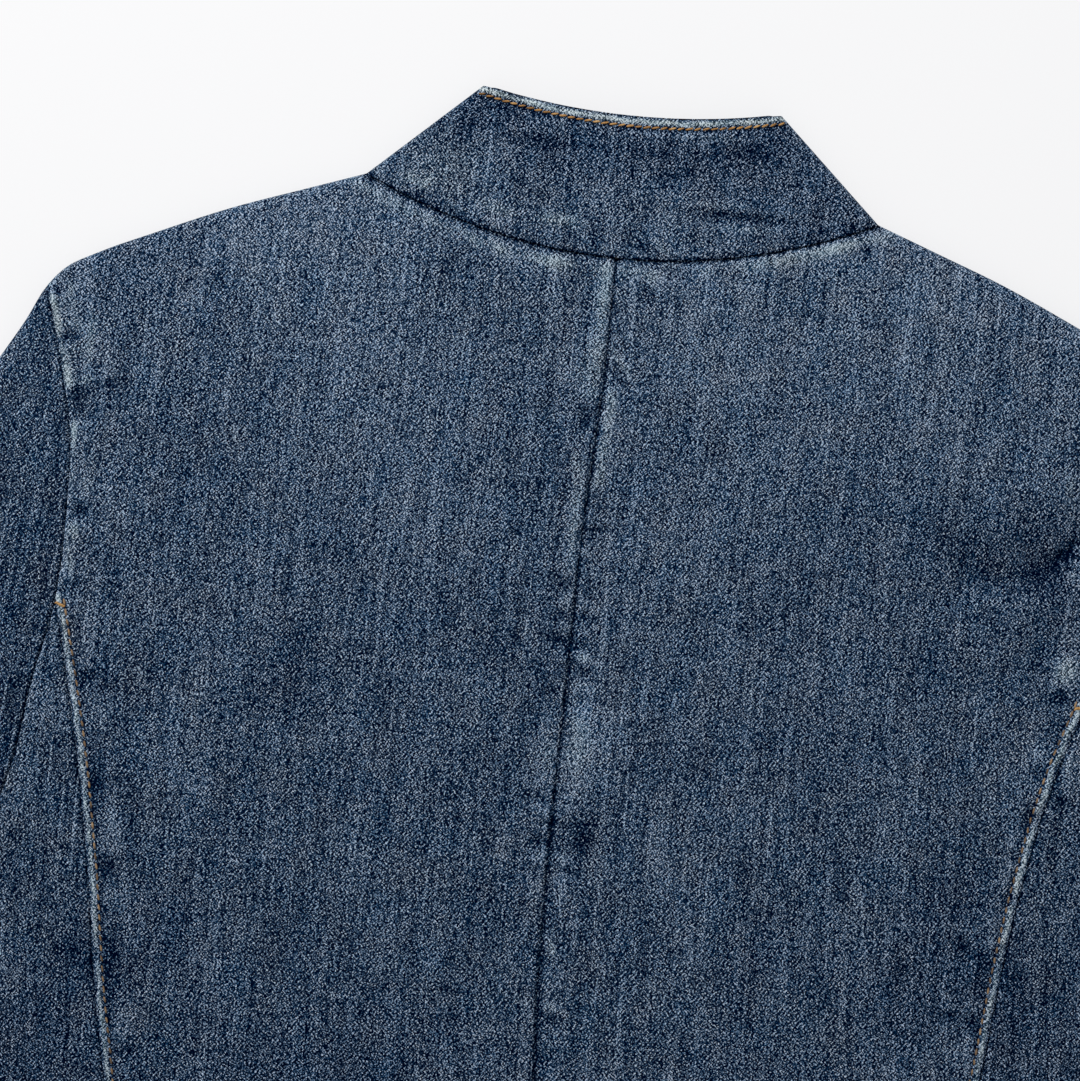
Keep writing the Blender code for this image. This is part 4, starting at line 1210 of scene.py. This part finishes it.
def thread_material(name, dark, middle, pale):
    """Cotton thread with a twist."""
    material = bpy.data.materials.new(name)
    material.use_nodes = True
    tree = material.node_tree
    nodes = Nodes(tree)
    spot = nodes.add("ShaderNodeTexCoord").outputs["Object"]
    twist = nodes.value("ShaderNodeTexNoise", None, {"Vector": spot, "Scale": TWISTS, "Detail": 1.0})
    worn = nodes.value("ShaderNodeTexNoise", None, {"Vector": spot, "Scale": WORN_SPOTS, "Detail": 2.0})
    stops = list(zip(THREAD_STOPS, (linear(dark), linear(middle), linear(pale))))
    mixed = worn * WORN_SHARE + twist * TWIST_SHARE
    colour = nodes.add("ShaderNodeValToRGB", {"stops": stops}, {0: mixed})
    raised = {"Strength": THREAD_BUMP, "Distance": THREAD_DEPTH, "Height": twist}
    bump = nodes.add("ShaderNodeBump", None, raised)
    surface = tree.nodes["Principled BSDF"]
    surface.inputs["Roughness"].default_value = THREAD_ROUGHNESS
    tree.links.new(colour.outputs[0], surface.inputs["Base Color"])
    tree.links.new(bump.outputs[0], surface.inputs["Normal"])
    return material


def stitch_tree():
    """Geometry Nodes that lay one rounded stitch after another along seam lines."""
    tree = bpy.data.node_groups.new("stitch_row", "GeometryNodeTree")
    kinds = {"Seam line": "Geometry"}
    kinds |= {"Stitch pitch": "Float", "Stitch length": "Float", "Thread width": "Float"}
    kinds |= {"Slant": "Float", "Unevenness": "Float", "Seed": "Int", "Thread": "Material"}
    sockets = {}
    for name, kind in kinds.items():
        socket = tree.interface.new_socket(name, in_out="INPUT", socket_type=f"NodeSocket{kind}")
        sockets[name] = socket.identifier
    tree.interface.new_socket("Stitches", in_out="OUTPUT", socket_type="NodeSocketGeometry")
    nodes = Nodes(tree)

    def first(kind, settings, inputs):
        return nodes.add(kind, settings, inputs).outputs[0]

    def vector(operation, inputs):
        return first("ShaderNodeVectorMath", {"operation": operation}, inputs)

    given = nodes.add("NodeGroupInput").outputs
    uneven = given["Unevenness"]
    width = given["Thread width"]
    line = first("GeometryNodeMeshToCurve", None, {"Mesh": given["Seam line"]})
    points = {"Curve": line, "Length": given["Stitch pitch"]}
    points = nodes.add("GeometryNodeCurveToPoints", {"mode": "LENGTH"}, points).outputs
    low = vector("SCALE", {0: (-1, -1, -1), "Scale": uneven})
    high = vector("SCALE", {0: (1, 1, 1), "Scale": uneven})
    limits = {"Min": low, "Max": high, "Seed": given["Seed"]}
    jitter = first("FunctionNodeRandomValue", {"data_type": "FLOAT_VECTOR"}, limits)
    aside = vector("CROSS_PRODUCT", {0: (0, 0, 1), 1: points["Tangent"]})
    slant = vector("SCALE", {0: aside, "Scale": given["Slant"]})
    way = vector("ADD", {0: points["Tangent"], 1: slant})
    heading = vector("ADD", {0: way, 1: jitter})
    turn = first("FunctionNodeAlignRotationToVector", {"axis": "X"}, {"Vector": heading})
    sizes = first("ShaderNodeCombineXYZ", None, {0: given["Stitch length"], 1: width, 2: width})
    scale = vector("MULTIPLY", {0: sizes, 1: vector("ADD", {0: (1, 1, 1), 1: jitter})})
    rounded = {"Segments": STITCH_SIDES, "Rings": STITCH_RINGS, "Radius": 0.5}
    stitch = first("GeometryNodeMeshUVSphere", None, rounded)
    placed = {"Points": points["Points"], "Instance": stitch, "Rotation": turn, "Scale": scale}
    rows = first("GeometryNodeInstanceOnPoints", None, placed)
    real = first("GeometryNodeRealizeInstances", None, {0: rows})
    smooth = first("GeometryNodeSetShadeSmooth", None, {"Geometry": real})
    coloured = first("GeometryNodeSetMaterial", None, {"Geometry": smooth, "Material": given["Thread"]})
    nodes.add("NodeGroupOutput", None, {0: coloured})
    return tree, list(sockets.values())[1:]


Stitch = namedtuple("Stitch", "pitch length width slant unevenness seed thread")


def stitched(name, lines, stitch, tree, sockets):
    """A piece of stitches along lines of points."""
    points = np.concatenate(lines) + IN_FRAME
    links, first = [], 0
    for line in lines:
        links += [(first + step, first + step + 1) for step in range(len(line) - 1)]
        first += len(line)
    mesh = bpy.data.meshes.new(f"{name}_line")
    mesh.from_pydata(points.tolist(), links, [])
    path = bpy.data.objects.new(f"{name}_line", mesh)
    bpy.context.scene.collection.objects.link(path)
    maker = path.modifiers.new("stitches", "NODES")
    maker.node_group = tree
    for socket, setting in zip(sockets, stitch):
        maker[socket] = setting
    made = bpy.data.meshes.new_from_object(path.evaluated_get(bpy.context.evaluated_depsgraph_get()))
    bpy.data.objects.remove(path, do_unlink=True)
    piece = bpy.data.objects.new(name, made)
    bpy.context.scene.collection.objects.link(piece)
    return piece


def seam_path(plan, seams, left, above):
    """Points of a line of stitches, standing this far over the cloth along its normal."""
    laid = on_side(lay(plan[None], BACK), left)
    lift, _ = relief(laid, seams)
    return (laid.points + (lift + above)[..., None] * laid.normals)[0]


def beside(curve, distance):
    """A line at this distance to the left of a plan curve."""
    run = unit(np.gradient(curve, axis=0))
    return curve + distance * np.stack([-run[:, 1], run[:, 0]], axis=1)


SLEEVE_GRAIN = np.radians(6)  # how far the sleeves' warp leans out from the body's

FACING_SHADE = 60  # the collar's facing is darker by this luma

washed_denim = denim("washed_denim", MID_LUMA - 32)
dark_denim = denim("dark_denim", MID_LUMA - 48)
collar_denim = denim("collar_denim", MID_LUMA - 49)


def sew(node, cloth, material, slot, **how):
    """One piece of cloth in its solid's place."""
    piece = cloth_shell(f"{node}_cloth", cloth, material, **how)
    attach(piece, "root")
    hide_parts(node)
    return piece


def sew_panels():
    made = {}
    panels = (
        ("back", hemmed(back_plan()), BACK, BACK_SEAMS),
        ("side_back", hemmed(side_back_plan()), BACK, SIDE_SEAMS),
        ("front", hemmed(front_plan()), FRONT, FRONT_SEAMS),
    )
    for name, hem, face, seams in panels:
        laid = lay(hem.plan, face)
        for side in ("left", "right"):
            cloth = skins(laid, hem, seams, side == "left")
            if name == "front" and side == "left":
                cloth = lapped(cloth)
            node = f"{name}_{side}"
            made[node] = sew(node, cloth, washed_denim, "denim_body")
    hem = hemmed(sleeve_plan())
    backs, fronts = lay(hem.plan, BACK), lay(hem.plan, FRONT)
    for side in ("left", "right"):
        left = side == "left"
        halves = skins(backs, hem, SLEEVE_SEAMS, left), skins(fronts, hem, SLEEVE_SEAMS, left)
        cloth = Skins(*[np.concatenate([over, under[:, ::-1]], axis=1) for over, under in zip(*halves)])
        turn = -SLEEVE_GRAIN if left else SLEEVE_GRAIN
        node = f"sleeve_{side}"
        made[node] = sew(node, cloth, dark_denim, "denim_sleeve", grain_turn=turn, tube=True)
    outer = collar_band(0.0, SEAM_CLOSED / 2, 0.0)
    facing = collar_band(CLOTH + SEAM_GAP, 2 * SEAM_GAP, FACING_RISE)
    facing.fade[:] -= FACING_SHADE
    for node, cloth in (("collar_outer", outer), ("collar_facing", facing)):
        made[node] = sew(node, cloth, collar_denim, "denim_collar")
    return made


COLLAR_STITCH = 0.0031  # distance of the topstitch from the collar's top edge
PRINCESS_STITCH = 0.0030  # from the seam
HEM_STITCH = 0.0175  # from the edge of hem and cuffs
THREAD = 0.0008
STITCH_RISE, TACK_RISE = 0.25 * THREAD, 0.4 * THREAD  # how far stitches stand over the cloth
COLLAR_POINTS = 60
HEM_POINTS, HEM_SIDE_POINTS = 120, 70
HEM_START, HEM_SHORT, HEM_SIDE_SHORT = 0.002, 0.004, 0.003  # ends of the hem's rows, off the seams
AROUND_FOLD = 8  # fold steps that the collar's row takes at its ends
CUFF_EDGE = len(HEM_INSIDE) + len(HEM_ARC) - 1  # row of the cuff's points on its edge
CUFF_AIM = (14, 20)  # rows that give the way up the sleeve there
CUFF_ENDS = 6  # points at both sides of the cuff without stitches
TACK_START, TACK_END, TACK_POINTS = (-0.0032, -0.0022), (-0.0006, -0.0012), 5  # from the princess seam's top


def hem_row(start, end, count):
    return np.column_stack([np.linspace(start, end, count), np.full(count, HEM_Y + HEM_STITCH)])


def topstitch():
    """Rows of stitches on the back: collar edge, princess seams, hem and cuffs."""
    collar = points_along(top_curve, PLAIN_END, FOLD_STEPS[:AROUND_FOLD], COLLAR_POINTS)
    collar = collar - (0, COLLAR_STITCH)
    cuff = hemmed(sleeve_plan()).plan
    lower, upper = CUFF_AIM
    cuff_row = cuff[CUFF_EDGE] + unit(cuff[upper] - cuff[lower]) * (HEM_STITCH - HEM_ROUND)
    rows = (
        (beside(princess_curve, PRINCESS_STITCH)[2:-1], BACK_SEAMS),
        (hem_row(HEM_START, PRINCESS[0].x - HEM_SHORT, HEM_POINTS), BACK_SEAMS),
        (hem_row(PRINCESS[0].x + HEM_START, SIDE[0].x - HEM_SIDE_SHORT, HEM_SIDE_POINTS), SIDE_SEAMS),
        (cuff_row[CUFF_ENDS:-CUFF_ENDS], SLEEVE_SEAMS),
    )
    sides = (False, True)
    collar_rows = [seam_path(collar, COLLAR_SEAMS, left, STITCH_RISE) for left in sides]
    return collar_rows, [seam_path(row, seams, left, STITCH_RISE) for left in sides for row, seams in rows]


def bartacks():
    top = np.array(PRINCESS_TOP) + np.linspace(TACK_START, TACK_END, TACK_POINTS)
    return [seam_path(top, BACK_SEAMS, left, TACK_RISE) for left in (False, True)]


made = sew_panels()
tree, sockets = stitch_tree()
tan_thread = thread_material("tan_thread", (92, 64, 34), (168, 122, 64), (206, 168, 112))
worn_thread = thread_material("worn_thread", (52, 44, 40), (118, 94, 68), (178, 150, 116))
collar_rows, seam_rows = topstitch()
STITCHING = (
    ("collar_stitching", collar_rows, Stitch(0.0029, 0.0030, THREAD, 0.25, 0.09, 4, tan_thread)),
    ("seam_stitching", seam_rows, Stitch(0.0036, 0.0026, THREAD, 0.10, 0.10, 6, worn_thread)),
    ("bartacks", bartacks(), Stitch(0.0008, 0.0018, THREAD, 0.90, 0.20, 9, tan_thread)),
)
for name, lines, stitch in STITCHING:
    threads = stitched(name, lines, stitch, tree, sockets)
    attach(threads, "root")

FLOOR = 12.0  # half of the floor's side
FLOOR_DROP = 0.0002  # the floor lies this far under the cloth
PAPER = {
    "Base Color": (0.36, 0.36, 0.365, 1),
    "Roughness": 1,
    "Specular IOR Level": 0,
    "Emission Color": (0.99, 0.99, 1, 1),
    "Emission Strength": 0.57,
}
bpy.ops.mesh.primitive_plane_add(size=2 * FLOOR)
floor = bpy.context.object
floor.name = "floor"
floor.location.z = -FLOOR_DROP
paper = bpy.data.materials.new("pale_floor")
paper.use_nodes = True
for socket, setting in PAPER.items():
    paper.node_tree.nodes["Principled BSDF"].inputs[socket].default_value = setting
floor.data.materials.append(paper)

WORLD_STRENGTH = 0.44
SOFTBOX_ENERGY = 32.5
SOFTBOX_SIZE = (1.2, 0.8)
SOFTBOX_AT, SOFTBOX_AIM = np.array([-0.75, 1.35, 1.5]), np.array([0, 0.15, 0])
world = bpy.data.worlds.new("studio")
world.use_nodes = True
world.node_tree.nodes["Background"].inputs["Color"].default_value = (1, 1, 1, 1)
world.node_tree.nodes["Background"].inputs["Strength"].default_value = WORLD_STRENGTH
bpy.context.scene.world = world
lamp = bpy.data.lights.new("softbox", "AREA")
lamp.shape = "RECTANGLE"
lamp.size, lamp.size_y = SOFTBOX_SIZE
lamp.energy = SOFTBOX_ENERGY
softbox = bpy.data.objects.new("softbox", lamp)
bpy.context.scene.collection.objects.link(softbox)
softbox.location = SOFTBOX_AT
aim = SOFTBOX_AIM - SOFTBOX_AT
softbox.rotation_euler = (np.arctan2(np.hypot(aim[0], aim[1]), -aim[2]), 0, np.arctan2(-aim[0], aim[1]))
bpy.context.scene.view_settings.view_transform = "Standard"

PHOTO_WIDTH = 0.378  # what the photograph shows across, at the cloth
CAMERA_HEIGHT = 1.2
CAMERA_ASIDE, CAMERA_DOWN = -0.0168, 0.1015  # the middle of the photograph, from the neck seam
CAMERA_TURN = np.radians(5.8)
SENSOR = 36
camera_data = bpy.data.cameras.new("camera")
camera_data.sensor_fit = "HORIZONTAL"
camera_data.sensor_width = SENSOR
camera_data.lens = SENSOR * CAMERA_HEIGHT / PHOTO_WIDTH
camera = bpy.data.objects.new("camera", camera_data)
bpy.context.scene.collection.objects.link(camera)
camera.location = (CAMERA_ASIDE, neck_y - CAMERA_DOWN, CAMERA_HEIGHT + LOFT)
camera.rotation_euler = (0, 0, CAMERA_TURN)
bpy.context.scene.camera = camera
